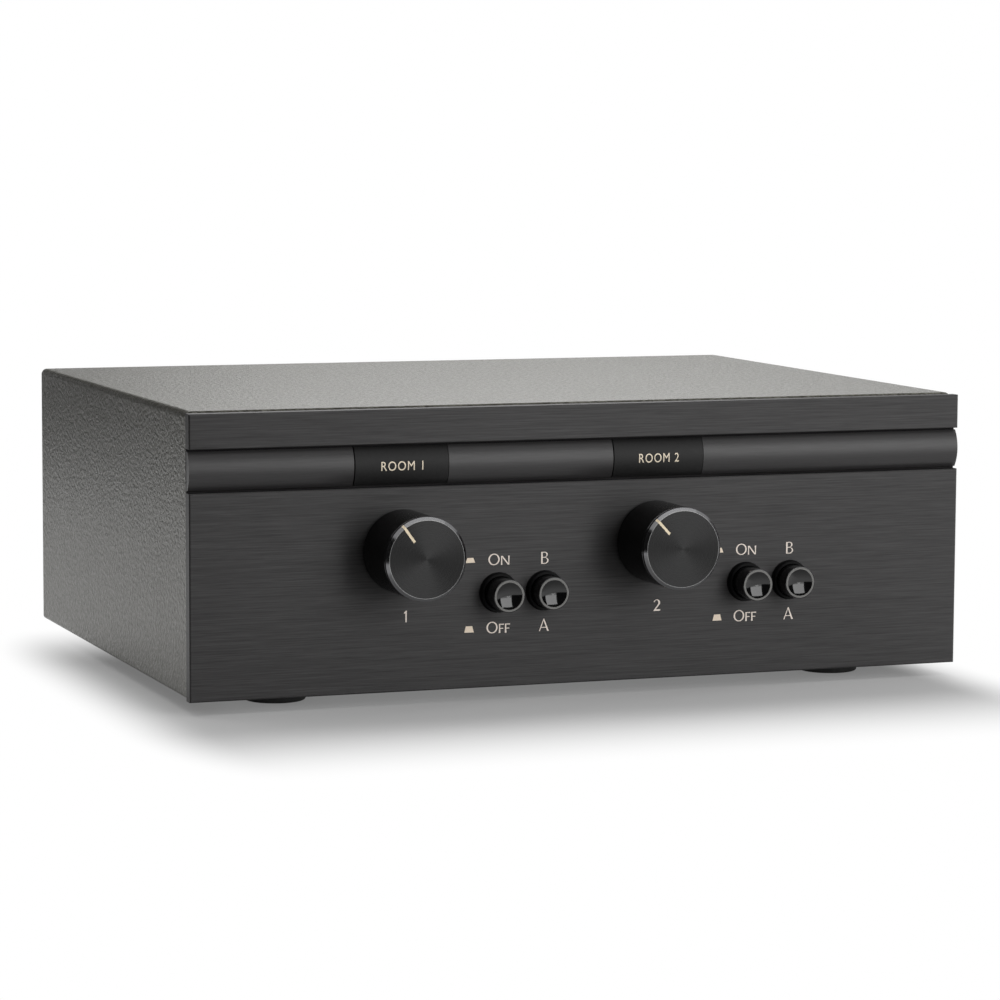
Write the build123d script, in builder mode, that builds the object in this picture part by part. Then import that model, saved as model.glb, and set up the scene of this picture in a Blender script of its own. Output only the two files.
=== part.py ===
from build123d import *
import os
from math import cos, radians, sin

os.makedirs("parts", exist_ok=True)

# Speaker selector switch for two rooms: a steel cabinet behind a thick front panel, with one stepped
# volume control, one on-off button and one source button for each room.
# X runs across the front from left to right, Y runs from the front to the back, Z runs up from the floor.
# The origin is on the floor, in the middle of the whole object's width and depth.

# ---------------------------------------------------------------- driving dimensions, in millimetres

# Front panel
panel_width = 262.0
panel_height = 88.9
panel_thickness = 4.0
panel_edge_chamfer = 0.4
floor_gap = 4.2                  # floor to the panel's lower edge

# Channel across the panel for the trim bars and name plates
channel_from_top = 10.9          # panel's upper edge to the channel's upper wall
channel_height = 13.5
channel_depth = 3.0
channel_bevel = 0.3
trim_gap = 0.7                   # between a trim bar and the channel's walls
trim_edge_depth = 2.0            # how far a bar's long edges lie behind its crown
plate_width = 30.7               # name plates, which are rounded like the bars
plate_recess = 0.15              # plate's crown behind the bars' crown
plate_left_gap = 0.45            # between a plate's left end and the bar beside it
plate_right_gap = 0.1
plate_1_x = -62.25
plate_2_x = 24.4

# Cabinet
cabinet_depth = 195.0            # panel's face to the cover's rear edge
cover_sheet = 1.0
cover_bend = 2.0                 # outer radius of the upper bends
cover_lip_bend = 1.2             # outer radius of the bends to the lips
cover_inset = 0.5                # cover's sides inside the panel's ends
cover_rise = 0.5                 # cover's top above the panel's upper edge
cover_lift = 0.3                 # cover's lower edge above the panel's lower edge
cover_reveal = 1.4               # gap between the panel's back and the cover's front edge
cover_lip = 12.0                 # width of the lips turned in under the chassis
chassis_sheet = 1.2
chassis_bend = 1.8               # outer radius
chassis_clearance = 0.3          # between the chassis and the cover
chassis_return = 10.0            # height of the upturned sides
rear_recess = 0.8                # rear panel inside the cover's rear edge

# Feet
foot_spacing = 192.8             # centre to centre, across
foot_setback = 24.5              # panel's face to the centres of the front feet
foot_rear_setback = 22.0         # cover's rear edge to the centres of the rear feet
foot_base_diameter = 19.4
foot_top_diameter = 20.6
foot_edge_radius = 0.8
foot_well_diameter = 9.0
foot_well_depth = 2.6

# Controls
control_1_x = -62.3
control_2_x = 22.9
control_height = 44.5            # above the panel's lower edge
control_hole_diameter = 17.0     # in the front panel
knob_diameter = 26.2
knob_proud = 23.5                # knob's face in front of the panel's face
knob_gap = 0.8                   # between the knob's back and the panel
knob_edge_chamfer = 0.95
knob_groove_from_face = 2.2      # fine groove turned round the knob, behind its face
knob_groove_width = 0.3
knob_groove_depth = 0.15
knob_recess_diameter = 16.0
knob_recess_depth = 3.2
pointer_width = 0.9
pointer_depth = 1.05             # a little deeper than the chamfer, which it crosses
pointer_start = 6.7              # pointer's inner end from the axis
pointer_1_angle = -36.0          # clockwise from straight up, seen from the front
pointer_2_angle = -43.0
set_screw_turn = 160.0           # set screw clockwise from the pointer
set_screw_diameter = 4.0
set_screw_length = 6.0
set_screw_from_back = 7.5        # set screw's axis from the knob's back
set_screw_socket = 2.0           # across flats
shaft_diameter = 6.35
shaft_in_knob = 17.0             # how far the shaft reaches into the knob
shaft_flat_cut = 0.8
shaft_chamfer = 0.5
knob_bore_clearance = 0.04       # radial
shaft_clearance = 0.05           # radial, in the bushing
shaft_end_play = 0.1
collar_diameter = 10.0
collar_thickness = 1.2
blade_width = 4.0
blade_thickness = 2.4
blade_clearance = 0.04

# Rotary switches behind the sub-panel
bushing_diameter = 9.0
bushing_length = 4.6             # in front of the index housing
bushing_clearance = 0.2          # radial, in the sub-panel
nut_flats = 12.0
nut_thickness = 2.4
washer_diameter = 13.0
washer_thickness = 0.5
housing_diameter = 34.0
housing_length = 8.0
post_radius = 14.0               # posts from the control's axis
post_diameter = 5.0
post_length = 7.8
stud_diameter = 2.8
stud_clearance = 0.15            # radial
stud_nut_flats = 5.0
stud_nut_thickness = 2.0
wafer_diameter = 35.0
wafer_thickness = 1.6
wafer_positions = 12
lug_width = 1.8
lug_length = 4.0
lug_overhang = 2.5
lug_thickness = 0.5
rotor_diameter = 13.8
rotor_thickness = 2.6
rotor_clearance = 0.08           # radial, in the wafer
rotor_arm_radius = 9.8
rotor_arm_width = 3.0
rotor_arm_thickness = 0.4

# Push buttons, and the push switches that they work
power_button_from_control = 32.1
source_button_from_control = 47.7
button_height = 30.1             # above the panel's lower edge
cap_diameter = 10.4
cap_length = 13.0
cap_proud = 10.0                 # cap's rim in front of the panel's face, when out
cap_rim = 0.85                   # width of the rim around the hollowed face
cap_dish_depth = 1.0
cap_edge_radius = 0.25
cap_socket_depth = 7.0
cap_socket_clearance = 0.05
latch_drop = 1.6                 # how far a latched button stays in
push_travel = 3.0                # out to fully pressed
bezel_diameter = 12.9
bezel_front_diameter = 12.2
bezel_proud = 2.0
bezel_sleeve_diameter = 11.8
bezel_bore_clearance = 0.2       # radial, around the cap
bezel_hole_clearance = 0.1       # radial, in the panel
sub_panel_button_clearance = 0.6  # radial, around the cap
plunger_side = 4.0
plunger_length = 19.0
plunger_clearance = 0.1
switch_side = 10.0
switch_length = 16.0
switch_setback = 2.8             # sub-panel's back to the switches' fronts
switch_bore_spare = 0.5          # left behind a fully pressed plunger

# Circuit boards
board_thickness = 1.6
switch_board_margin = 6.0        # past the outer faces of the push switches
switch_board_low = 4.0           # above the chassis floor
switch_board_shoulder = 20.0     # height of the strip that joins the two towers
rear_board_width = 186.0
rear_board_low = 17.0            # above the chassis floor
rear_board_height = 40.0
tab_width = 10.0
tab_screw_edge = 5.0             # board screws from the tabs' upper ends

# Terminal blocks
block_poles = 4
block_pitch = 5.08
block_end_wall = 0.5
block_height = 11.0
block_depth = 18.0
block_proud = 9.8                # blocks behind the cover's rear edge
block_spacing = 52.0
block_centre_height = 44.0       # above the chassis floor
block_window_clearance = 0.4
block_chamfer = 0.5
wire_entry = 3.4
wire_entry_depth = 8.0
clamp_well_diameter = 3.6
clamp_well_depth = 1.2
clamp_slot_width = 0.7
clamp_from_end = 4.2

# Autoformers
autoformer_from_side = 61.2      # middle of the core from the chassis side
autoformer_front_y = 80.0        # behind the panel's face
autoformer_rear_y = 140.0
core_width = 48.0
core_height = 40.0
core_stack = 20.0
core_limb = 8.0                  # outer limbs and yokes; the middle limb is twice as wide
coil_clearance = 0.3
coil_overhang = 8.0              # in front of and behind the core
coil_flange = 1.2
coil_corner = 3.0
frame_sheet = 1.0
frame_foot = 8.0
frame_inset = 1.0                # frame's edges inside the core's faces

# Ribbon cable
ribbon_width = 12.0
ribbon_thickness = 0.9
ribbon_bend = 3.0
ribbon_lead = 9.0                # straight out of each board
ribbon_front_height = 11.0       # above the chassis floor
ribbon_rear_height = 25.0

# Screws
screw_diameter = 3.0
screw_head_diameter = 5.6
screw_head_height = 1.9
screw_recess = 1.1
screw_recess_length = 3.0
screw_recess_width = 0.8
screw_hole_clearance = 0.2       # radial, in the sheet under the head
thread_clearance = 0.05          # radial, in the threaded sheet
panel_screw_bite = 2.6           # into the back of the panel
panel_screw_edge = 5.3           # from the panel's upper edge
panel_screw_low = 8.0            # from the panel's lower edge
panel_screw_end = 13.0           # from the panel's ends
cover_screw_edge = 7.0           # from the cover's sides
cover_screw_front = 40.0         # from the panel's face
cover_screw_rear = 40.0          # from the cover's rear edge
screw_point = 1.0                # how far a screw comes out of its sheet

# ---------------------------------------------------------------- places that follow from them

overall_depth = knob_proud + cabinet_depth + block_proud
face_y = knob_proud - overall_depth / 2
panel_top_z = floor_gap + panel_height
panel_back_y = face_y + panel_thickness

channel_top_z = panel_top_z - channel_from_top
channel_low_z = channel_top_z - channel_height
channel_mid_z = (channel_top_z + channel_low_z) / 2
channel_back_y = face_y + channel_depth
trim_half_height = channel_height / 2 - trim_gap

cover_half_width = panel_width / 2 - cover_inset
cover_low_z = floor_gap + cover_lift
cover_top_z = panel_top_z + cover_rise
cover_front_y = panel_back_y + cover_reveal
cover_rear_y = face_y + cabinet_depth

chassis_half_width = cover_half_width - cover_sheet - chassis_clearance
chassis_low_z = cover_low_z + cover_sheet
chassis_floor_z = chassis_low_z + chassis_sheet
chassis_top_z = cover_top_z - cover_sheet - chassis_clearance
chassis_rear_y = cover_rear_y - rear_recess
sub_panel_back_y = panel_back_y + chassis_sheet
rear_panel_inner_y = chassis_rear_y - chassis_sheet

control_z = floor_gap + control_height
knob_length = knob_proud - knob_gap
knob_back_y = face_y - knob_gap
housing_back_y = sub_panel_back_y + housing_length
collar_back_y = housing_back_y + shaft_end_play + collar_thickness
wafer_front_y = housing_back_y + post_length
wafer_back_y = wafer_front_y + wafer_thickness
rotor_front_y = wafer_front_y - (rotor_thickness - wafer_thickness) / 2
rotor_back_y = rotor_front_y + rotor_thickness

button_z = floor_gap + button_height
switch_front_y = sub_panel_back_y + switch_setback
switch_back_y = switch_front_y + switch_length
board_back_y = switch_back_y + board_thickness
switch_board_low_z = chassis_floor_z + switch_board_low
switch_board_shoulder_z = chassis_floor_z + switch_board_shoulder
switch_board_top_z = button_z + switch_side / 2 + switch_board_margin

block_width = block_poles * block_pitch + 2 * block_end_wall
block_back_y = cover_rear_y + block_proud
block_front_y = block_back_y - block_depth
block_z = chassis_floor_z + block_centre_height
rear_board_front_y = block_front_y - board_thickness
rear_board_low_z = chassis_floor_z + rear_board_low
rear_board_mid_z = rear_board_low_z + rear_board_height / 2

controls = {1: (control_1_x, pointer_1_angle), 2: (control_2_x, pointer_2_angle)}
blocks = {
    "source_a_terminals": -1.5 * block_spacing,
    "source_b_terminals": -0.5 * block_spacing,
    "room_1_terminals": 0.5 * block_spacing,
    "room_2_terminals": 1.5 * block_spacing,
}
# Each button's name, its place across the front and how far it is in at rest: the source buttons are
# latched in.
buttons = {}
for room, (x, angle) in controls.items():
    buttons[f"power_button_{room}"] = (x + power_button_from_control, 0.0)
    buttons[f"source_button_{room}"] = (x + source_button_from_control, latch_drop)
button_spots = [(x, button_z) for x, drop in buttons.values()]
control_spots = [(x, control_z) for x, angle in controls.values()]

panel_screw_xs = (-panel_width / 2 + panel_screw_end, 0, panel_width / 2 - panel_screw_end)
panel_screw_zs = (floor_gap + panel_screw_low, panel_top_z - panel_screw_edge)
panel_screw_spots = [(x, z) for x in panel_screw_xs for z in panel_screw_zs]
cover_screw_x = cover_half_width - cover_screw_edge
cover_screw_ys = (face_y + cover_screw_front, cover_rear_y - cover_screw_rear)
cover_screw_spots = [(x, y) for x in (-cover_screw_x, cover_screw_x) for y in cover_screw_ys]
foot_x = foot_spacing / 2
foot_ys = {"front": face_y + foot_setback, "rear": cover_rear_y - foot_rear_setback}
foot_spots = [(x, y) for x in (-foot_x, foot_x) for y in foot_ys.values()]

# The switch board's tabs stand under the middle of each pair of buttons, the rear board's tabs between
# the outer and inner terminal blocks.
pair_offset = (power_button_from_control + source_button_from_control) / 2
switch_tab_xs = [x + pair_offset for x, angle in controls.values()]
switch_tab_top_z = switch_board_shoulder_z - 2 * screw_point
switch_tab_screw_z = switch_tab_top_z - tab_screw_edge
rear_tab_xs = [-block_spacing, block_spacing]
rear_tab_top_z = rear_board_low_z + 2 * tab_screw_edge
rear_tab_screw_z = rear_tab_top_z - tab_screw_edge

autoformer_x = chassis_half_width - autoformer_from_side
frame_half_width = core_width / 2 + frame_sheet
frame_screw_x = frame_half_width + frame_foot / 2
autoformers = {}
for room, side in ((1, -1), (2, 1)):
    autoformers[f"{room}_left"] = (side * autoformer_x, face_y + autoformer_front_y)
    autoformers[f"{room}_right"] = (side * autoformer_x, face_y + autoformer_rear_y)
frame_screw_spots = [
    (x + step, y) for x, y in autoformers.values() for step in (-frame_screw_x, frame_screw_x)
]

ON_BASE = (Align.CENTER, Align.CENTER, Align.MIN)
UNDER_BASE = (Align.CENTER, Align.CENTER, Align.MAX)


def upright(y, x=0.0, z=0.0):
    """Plane parallel to the panel that faces forwards: its sketches read X across and Z up."""
    return Plane(origin=(x, y, z), x_dir=(1, 0, 0), z_dir=(0, -1, 0))


def outward(x, y, z, angle):
    """Plane on a control's axis that faces away from it, at an angle clockwise from straight up."""
    turn = radians(angle)
    return Plane(origin=(x, y, z), x_dir=(0, 1, 0), z_dir=(sin(turn), 0, cos(turn)))


def save(piece, name):
    """Label a finished piece and write its file."""
    piece.part.label = name
    export_step(piece.part, f"parts/{name}.step")


# ---------------------------------------------------------------- front panel

with BuildPart() as front_panel:
    with BuildSketch(upright(panel_back_y)):
        with Locations((0, floor_gap + panel_height / 2)):
            Rectangle(panel_width, panel_height)
    extrude(amount=panel_thickness)
    chamfer(front_panel.faces().sort_by(Axis.Y)[0].edges(), panel_edge_chamfer)
    with BuildSketch(Plane.YZ):
        with BuildLine():
            Polyline(
                (face_y, channel_top_z + channel_bevel),
                (face_y + channel_bevel, channel_top_z),
                (channel_back_y, channel_top_z),
                (channel_back_y, channel_low_z),
                (face_y + channel_bevel, channel_low_z),
                (face_y, channel_low_z - channel_bevel),
                close=True,
            )
        make_face()
    extrude(amount=panel_width / 2, both=True, mode=Mode.SUBTRACT)
    with BuildSketch(upright(face_y)):
        with Locations(*control_spots):
            Circle(control_hole_diameter / 2)
        with Locations(*button_spots):
            Circle(bezel_sleeve_diameter / 2 + bezel_hole_clearance)
    extrude(amount=-panel_thickness, mode=Mode.SUBTRACT)
    with BuildSketch(upright(panel_back_y)):
        with Locations(*panel_screw_spots):
            Circle(screw_diameter / 2 + thread_clearance)
    extrude(amount=panel_screw_bite, mode=Mode.SUBTRACT)
save(front_panel, "front_panel")

# ---------------------------------------------------------------- trim bars and name plates

plate_1_ends = (plate_1_x - plate_width / 2, plate_1_x + plate_width / 2)
plate_2_ends = (plate_2_x - plate_width / 2, plate_2_x + plate_width / 2)
# Each piece's ends across the panel, and how far its crown lies behind the panel's face.
channel_pieces = {
    "trim_bar_left": (-panel_width / 2, plate_1_ends[0] - plate_left_gap, 0),
    "name_plate_1": (*plate_1_ends, plate_recess),
    "trim_bar_middle": (plate_1_ends[1] + plate_right_gap, plate_2_ends[0] - plate_left_gap, 0),
    "name_plate_2": (*plate_2_ends, plate_recess),
    "trim_bar_right": (plate_2_ends[1] + plate_right_gap, panel_width / 2, 0),
}
for name, (start_x, end_x, recess) in channel_pieces.items():
    crown_y = face_y + recess
    edge_y = crown_y + trim_edge_depth
    low_z = channel_mid_z - trim_half_height
    high_z = channel_mid_z + trim_half_height
    with BuildPart() as channel_piece:
        with BuildSketch(Plane.YZ.offset(start_x)):
            with BuildLine():
                ThreePointArc((edge_y, low_z), (crown_y, channel_mid_z), (edge_y, high_z))
                Polyline((edge_y, high_z), (channel_back_y, high_z), (channel_back_y, low_z), (edge_y, low_z))
            make_face()
        extrude(amount=end_x - start_x)
    save(channel_piece, name)

# ---------------------------------------------------------------- top cover

with BuildPart() as top_cover:
    with BuildSketch(upright(cover_rear_y)) as cover_section:
        with Locations((0, (cover_low_z + cover_top_z) / 2)):
            Rectangle(2 * cover_half_width, cover_top_z - cover_low_z)
        fillet(cover_section.vertices().group_by(Axis.Y)[-1], cover_bend)
        fillet(cover_section.vertices().group_by(Axis.Y)[0], cover_lip_bend)
        offset(amount=-cover_sheet, mode=Mode.SUBTRACT)
        with Locations((0, cover_low_z + cover_sheet / 2)):
            Rectangle(2 * (cover_half_width - cover_lip), 2 * cover_sheet, mode=Mode.SUBTRACT)
    extrude(amount=cover_rear_y - cover_front_y)
    with BuildSketch(Plane.XY.offset(cover_low_z)):
        with Locations(*cover_screw_spots):
            Circle(screw_diameter / 2 + screw_hole_clearance)
    extrude(amount=cover_sheet, mode=Mode.SUBTRACT)
save(top_cover, "top_cover")

# ---------------------------------------------------------------- chassis

chassis_mid_y = (panel_back_y + chassis_rear_y) / 2
with BuildPart() as chassis:
    with BuildSketch(Plane.XY.offset(chassis_low_z)):
        with Locations((0, chassis_mid_y)):
            Rectangle(2 * chassis_half_width, chassis_rear_y - panel_back_y)
    extrude(amount=chassis_top_z - chassis_low_z)
    fillet(chassis.faces().sort_by(Axis.Z)[0].edges(), chassis_bend)
    offset(amount=-chassis_sheet, openings=chassis.faces().sort_by(Axis.Z)[-1])
    # the sides stand only as low returns between the sub-panel and the rear panel
    with BuildSketch(Plane.XY.offset(chassis_low_z + chassis_return)):
        with Locations((0, chassis_mid_y)):
            Rectangle(2 * chassis_half_width, rear_panel_inner_y - sub_panel_back_y)
    extrude(amount=chassis_top_z, mode=Mode.SUBTRACT)
    fillet(chassis.edges().filter_by(Axis.Y).group_by(Axis.Z)[-1], chassis_bend)
    # tabs in front of the switch board and behind the rear board
    with BuildSketch(Plane.XY.offset(chassis_low_z)):
        with Locations(*[(x, switch_back_y - chassis_sheet / 2) for x in switch_tab_xs]):
            Rectangle(tab_width, chassis_sheet)
    extrude(amount=switch_tab_top_z - chassis_low_z)
    with BuildSketch(Plane.XY.offset(chassis_low_z)):
        with Locations(*[(x, block_front_y + chassis_sheet / 2) for x in rear_tab_xs]):
            Rectangle(tab_width, chassis_sheet)
    extrude(amount=rear_tab_top_z - chassis_low_z)
    # holes in the sub-panel
    with BuildSketch(upright(panel_back_y)):
        with Locations(*control_spots):
            Circle(bushing_diameter / 2 + bushing_clearance)
        with Locations(*button_spots):
            Circle(cap_diameter / 2 + sub_panel_button_clearance)
        with Locations(*panel_screw_spots):
            Circle(screw_diameter / 2 + screw_hole_clearance)
    extrude(amount=-chassis_sheet, mode=Mode.SUBTRACT)
    # threaded holes in the floor
    with BuildSketch(Plane.XY.offset(chassis_low_z)):
        with Locations(*(cover_screw_spots + foot_spots + frame_screw_spots)):
            Circle(screw_diameter / 2 + thread_clearance)
    extrude(amount=chassis_sheet, mode=Mode.SUBTRACT)
    # threaded holes in the tabs
    with BuildSketch(upright(switch_back_y)):
        with Locations(*[(x, switch_tab_screw_z) for x in switch_tab_xs]):
            Circle(screw_diameter / 2 + thread_clearance)
    extrude(amount=chassis_sheet, mode=Mode.SUBTRACT)
    with BuildSketch(upright(block_front_y)):
        with Locations(*[(x, rear_tab_screw_z) for x in rear_tab_xs]):
            Circle(screw_diameter / 2 + thread_clearance)
    extrude(amount=-chassis_sheet, mode=Mode.SUBTRACT)
    # windows for the terminal blocks
    with BuildSketch(upright(chassis_rear_y)):
        with Locations(*[(x, block_z) for x in blocks.values()]):
            Rectangle(block_width + 2 * block_window_clearance, block_height + 2 * block_window_clearance)
    extrude(amount=chassis_sheet, mode=Mode.SUBTRACT)
save(chassis, "chassis")

# ---------------------------------------------------------------- feet

foot_height = chassis_low_z
for side, x in (("left", -foot_x), ("right", foot_x)):
    for end, y in foot_ys.items():
        with BuildPart(Plane((x, y, 0))) as foot:
            Cone(foot_base_diameter / 2, foot_top_diameter / 2, foot_height, align=ON_BASE)
            fillet(foot.edges().sort_by(Axis.Z)[0], foot_edge_radius)
            Cylinder(foot_well_diameter / 2, foot_well_depth, align=ON_BASE, mode=Mode.SUBTRACT)
            Cylinder(
                screw_diameter / 2 + screw_hole_clearance, foot_height, align=ON_BASE, mode=Mode.SUBTRACT
            )
        save(foot, f"foot_{end}_{side}")

# ---------------------------------------------------------------- controls

for room, (x, pointer_angle) in controls.items():
    set_screw_angle = pointer_angle + set_screw_turn
    set_screw_y = knob_back_y - set_screw_from_back
    flat_distance = shaft_diameter / 2 - shaft_flat_cut

    with BuildPart(upright(knob_back_y, x, control_z)) as knob:
        Cylinder(knob_diameter / 2, knob_length, align=ON_BASE)
        chamfer(knob.edges().sort_by(Axis.Y)[0], knob_edge_chamfer)
        Cylinder(knob_recess_diameter / 2, knob_recess_depth, align=ON_BASE, mode=Mode.SUBTRACT)
        Cylinder(
            shaft_diameter / 2 + knob_bore_clearance,
            shaft_in_knob + shaft_chamfer,
            align=ON_BASE,
            mode=Mode.SUBTRACT,
        )
        with BuildSketch(upright(face_y - knob_proud, x, control_z)):
            with PolarLocations(pointer_start, 1, start_angle=90 - pointer_angle):
                Rectangle(knob_diameter / 2, pointer_width, align=(Align.MIN, Align.CENTER))
        extrude(amount=-pointer_depth, mode=Mode.SUBTRACT)
        groove_y = face_y - knob_proud + knob_groove_from_face
        with BuildSketch(Plane((x, groove_y, control_z))):
            with BuildLine():
                Polyline(
                    (knob_diameter / 2 - knob_groove_depth, 0),
                    (knob_diameter / 2 + knob_groove_depth, -knob_groove_width),
                    (knob_diameter / 2 + knob_groove_depth, knob_groove_width),
                    close=True,
                )
            make_face()
        revolve(axis=Axis((x, 0, control_z), (0, 1, 0)), mode=Mode.SUBTRACT)
        with BuildSketch(outward(x, set_screw_y, control_z, set_screw_angle)):
            Circle(set_screw_diameter / 2 + thread_clearance)
        extrude(amount=knob_diameter / 2, mode=Mode.SUBTRACT)
    save(knob, f"knob_{room}")

    set_screw_plane = outward(x, set_screw_y, control_z, set_screw_angle).offset(flat_distance)
    with BuildPart(set_screw_plane) as set_screw:
        Cylinder(set_screw_diameter / 2, set_screw_length, align=ON_BASE)
        with BuildSketch(set_screw_plane.offset(set_screw_length)):
            RegularPolygon(set_screw_socket / 2, 6, major_radius=False)
        extrude(amount=-set_screw_socket, mode=Mode.SUBTRACT)
    save(set_screw, f"knob_set_screw_{room}")

    shaft_front_y = knob_back_y - shaft_in_knob
    flat_plane = outward(x, shaft_front_y, control_z, set_screw_angle).offset(flat_distance)
    with BuildPart(upright(collar_back_y, x, control_z)) as control_shaft:
        Cylinder(shaft_diameter / 2, collar_back_y - shaft_front_y, align=ON_BASE)
        chamfer(control_shaft.edges().sort_by(Axis.Y)[0], shaft_chamfer)
        Cylinder(collar_diameter / 2, collar_thickness, align=ON_BASE)
        with BuildSketch(upright(collar_back_y, x, control_z)):
            Rectangle(blade_width, blade_thickness)
        extrude(amount=-(rotor_back_y - collar_back_y))
        # flat under the set screw, along the stretch that lies in the knob
        with BuildSketch(flat_plane):
            Rectangle(shaft_in_knob, shaft_diameter, align=(Align.MIN, Align.CENTER))
        extrude(amount=shaft_flat_cut, mode=Mode.SUBTRACT)
    save(control_shaft, f"control_shaft_{room}")

    with BuildPart(upright(housing_back_y, x, control_z)) as switch_housing:
        Cylinder(housing_diameter / 2, housing_length, align=ON_BASE)
        Cylinder(bushing_diameter / 2, housing_length + chassis_sheet + bushing_length, align=ON_BASE)
        Cylinder(
            shaft_diameter / 2 + shaft_clearance,
            housing_length + chassis_sheet + bushing_length,
            align=ON_BASE,
            mode=Mode.SUBTRACT,
        )
    save(switch_housing, f"switch_housing_{room}")

    with BuildPart() as wafer:
        with BuildSketch(upright(wafer_back_y, x, control_z)):
            Circle(wafer_diameter / 2)
            Circle(rotor_diameter / 2 + rotor_clearance, mode=Mode.SUBTRACT)
            with PolarLocations(post_radius, 2):
                Circle(stud_diameter / 2 + stud_clearance, mode=Mode.SUBTRACT)
        extrude(amount=wafer_thickness)
        with BuildSketch(upright(wafer_back_y + lug_thickness, x, control_z)):
            lug_step = 360 / wafer_positions
            lug_reach = wafer_diameter / 2 + lug_overhang
            with PolarLocations(lug_reach, wafer_positions, start_angle=lug_step / 2):
                Rectangle(lug_length, lug_width, align=(Align.MAX, Align.CENTER))
        extrude(amount=lug_thickness)
    save(wafer, f"switch_wafer_{room}")

    with BuildPart() as rotor:
        with BuildSketch(upright(rotor_back_y, x, control_z)):
            Circle(rotor_diameter / 2)
        extrude(amount=rotor_thickness)
        with BuildSketch(upright(rotor_back_y, x, control_z)):
            with PolarLocations(0, 1, start_angle=90 - pointer_angle):
                Rectangle(rotor_arm_radius, rotor_arm_width, align=(Align.MIN, Align.CENTER))
        extrude(amount=rotor_arm_thickness)
        with BuildSketch(upright(rotor_back_y, x, control_z)):
            Rectangle(blade_width + 2 * blade_clearance, blade_thickness + 2 * blade_clearance)
        extrude(amount=rotor_thickness, mode=Mode.SUBTRACT)
    save(rotor, f"switch_rotor_{room}")

with BuildPart() as shaft_nuts:
    with BuildSketch(upright(panel_back_y - washer_thickness)):
        with Locations(*control_spots):
            RegularPolygon(nut_flats / 2, 6, major_radius=False)
            Circle(bushing_diameter / 2 + thread_clearance, mode=Mode.SUBTRACT)
    extrude(amount=nut_thickness)
save(shaft_nuts, "shaft_nuts")

with BuildPart() as lock_washers:
    with BuildSketch(upright(panel_back_y)):
        with Locations(*control_spots):
            Circle(washer_diameter / 2)
            Circle(bushing_diameter / 2 + bushing_clearance, mode=Mode.SUBTRACT)
    extrude(amount=washer_thickness)
save(lock_washers, "lock_washers")

with BuildPart() as deck_posts:
    post_spots = [(x + side * post_radius, control_z) for x, angle in controls.values() for side in (-1, 1)]
    with BuildSketch(upright(wafer_front_y)):
        with Locations(*post_spots):
            Circle(post_diameter / 2)
    extrude(amount=post_length)
    with BuildSketch(upright(wafer_front_y)):
        with Locations(*post_spots):
            Circle(stud_diameter / 2)
    extrude(amount=-(wafer_thickness + stud_nut_thickness))
    with BuildSketch(upright(wafer_back_y)):
        with Locations(*post_spots):
            RegularPolygon(stud_nut_flats / 2, 6, major_radius=False)
    extrude(amount=-stud_nut_thickness)
save(deck_posts, "deck_posts")

# ---------------------------------------------------------------- push buttons and switches

dish_radius = cap_diameter / 2 - cap_rim
dish_sphere_radius = (dish_radius**2 + cap_dish_depth**2) / (2 * cap_dish_depth)
plunger_start = cap_length - cap_socket_depth
cap_socket_side = plunger_side + 2 * cap_socket_clearance
switch_bore = plunger_side + 2 * plunger_clearance
plunger_reach_y = face_y - cap_proud + plunger_start + plunger_length
switch_bore_depth = plunger_reach_y + push_travel + switch_bore_spare - switch_front_y

for name, (x, drop) in buttons.items():
    cap_front_y = face_y - cap_proud + drop
    with BuildPart(upright(cap_front_y + cap_length, x, button_z)) as cap:
        Cylinder(cap_diameter / 2, cap_length, align=ON_BASE)
        fillet(cap.edges().sort_by(Axis.Y)[0], cap_edge_radius)
        with Locations((0, 0, cap_length + dish_sphere_radius - cap_dish_depth)):
            Sphere(dish_sphere_radius, mode=Mode.SUBTRACT)
        with BuildSketch(upright(cap_front_y + cap_length, x, button_z)):
            Rectangle(cap_socket_side, cap_socket_side)
        extrude(amount=cap_socket_depth, mode=Mode.SUBTRACT)
    save(cap, name)

    with BuildPart() as plunger:
        with BuildSketch(upright(cap_front_y + plunger_start, x, button_z)):
            Rectangle(plunger_side, plunger_side)
        extrude(amount=-plunger_length)
    save(plunger, name.replace("button", "plunger"))

    with BuildPart() as push_switch:
        with BuildSketch(upright(switch_front_y, x, button_z)):
            Rectangle(switch_side, switch_side)
        extrude(amount=-switch_length)
        with BuildSketch(upright(switch_front_y, x, button_z)):
            Rectangle(switch_bore, switch_bore)
        extrude(amount=-switch_bore_depth, mode=Mode.SUBTRACT)
    save(push_switch, name.replace("button", "switch"))

with BuildPart() as button_bezels:
    for x, z in button_spots:
        bezel_taper = (bezel_diameter - bezel_front_diameter) / 2
        with BuildSketch(upright(face_y, x, z)):
            Circle(bezel_diameter / 2)
        with BuildSketch(upright(face_y - bezel_proud, x, z)):
            Circle(bezel_front_diameter / 2)
        loft()
        with BuildSketch(upright(face_y, x, z)):
            Circle(bezel_sleeve_diameter / 2)
        extrude(amount=-panel_thickness)
        with BuildSketch(upright(panel_back_y, x, z)):
            Circle(cap_diameter / 2 + bezel_bore_clearance)
        extrude(amount=panel_thickness + bezel_proud, mode=Mode.SUBTRACT)
save(button_bezels, "button_bezels")

# ---------------------------------------------------------------- circuit boards

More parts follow.
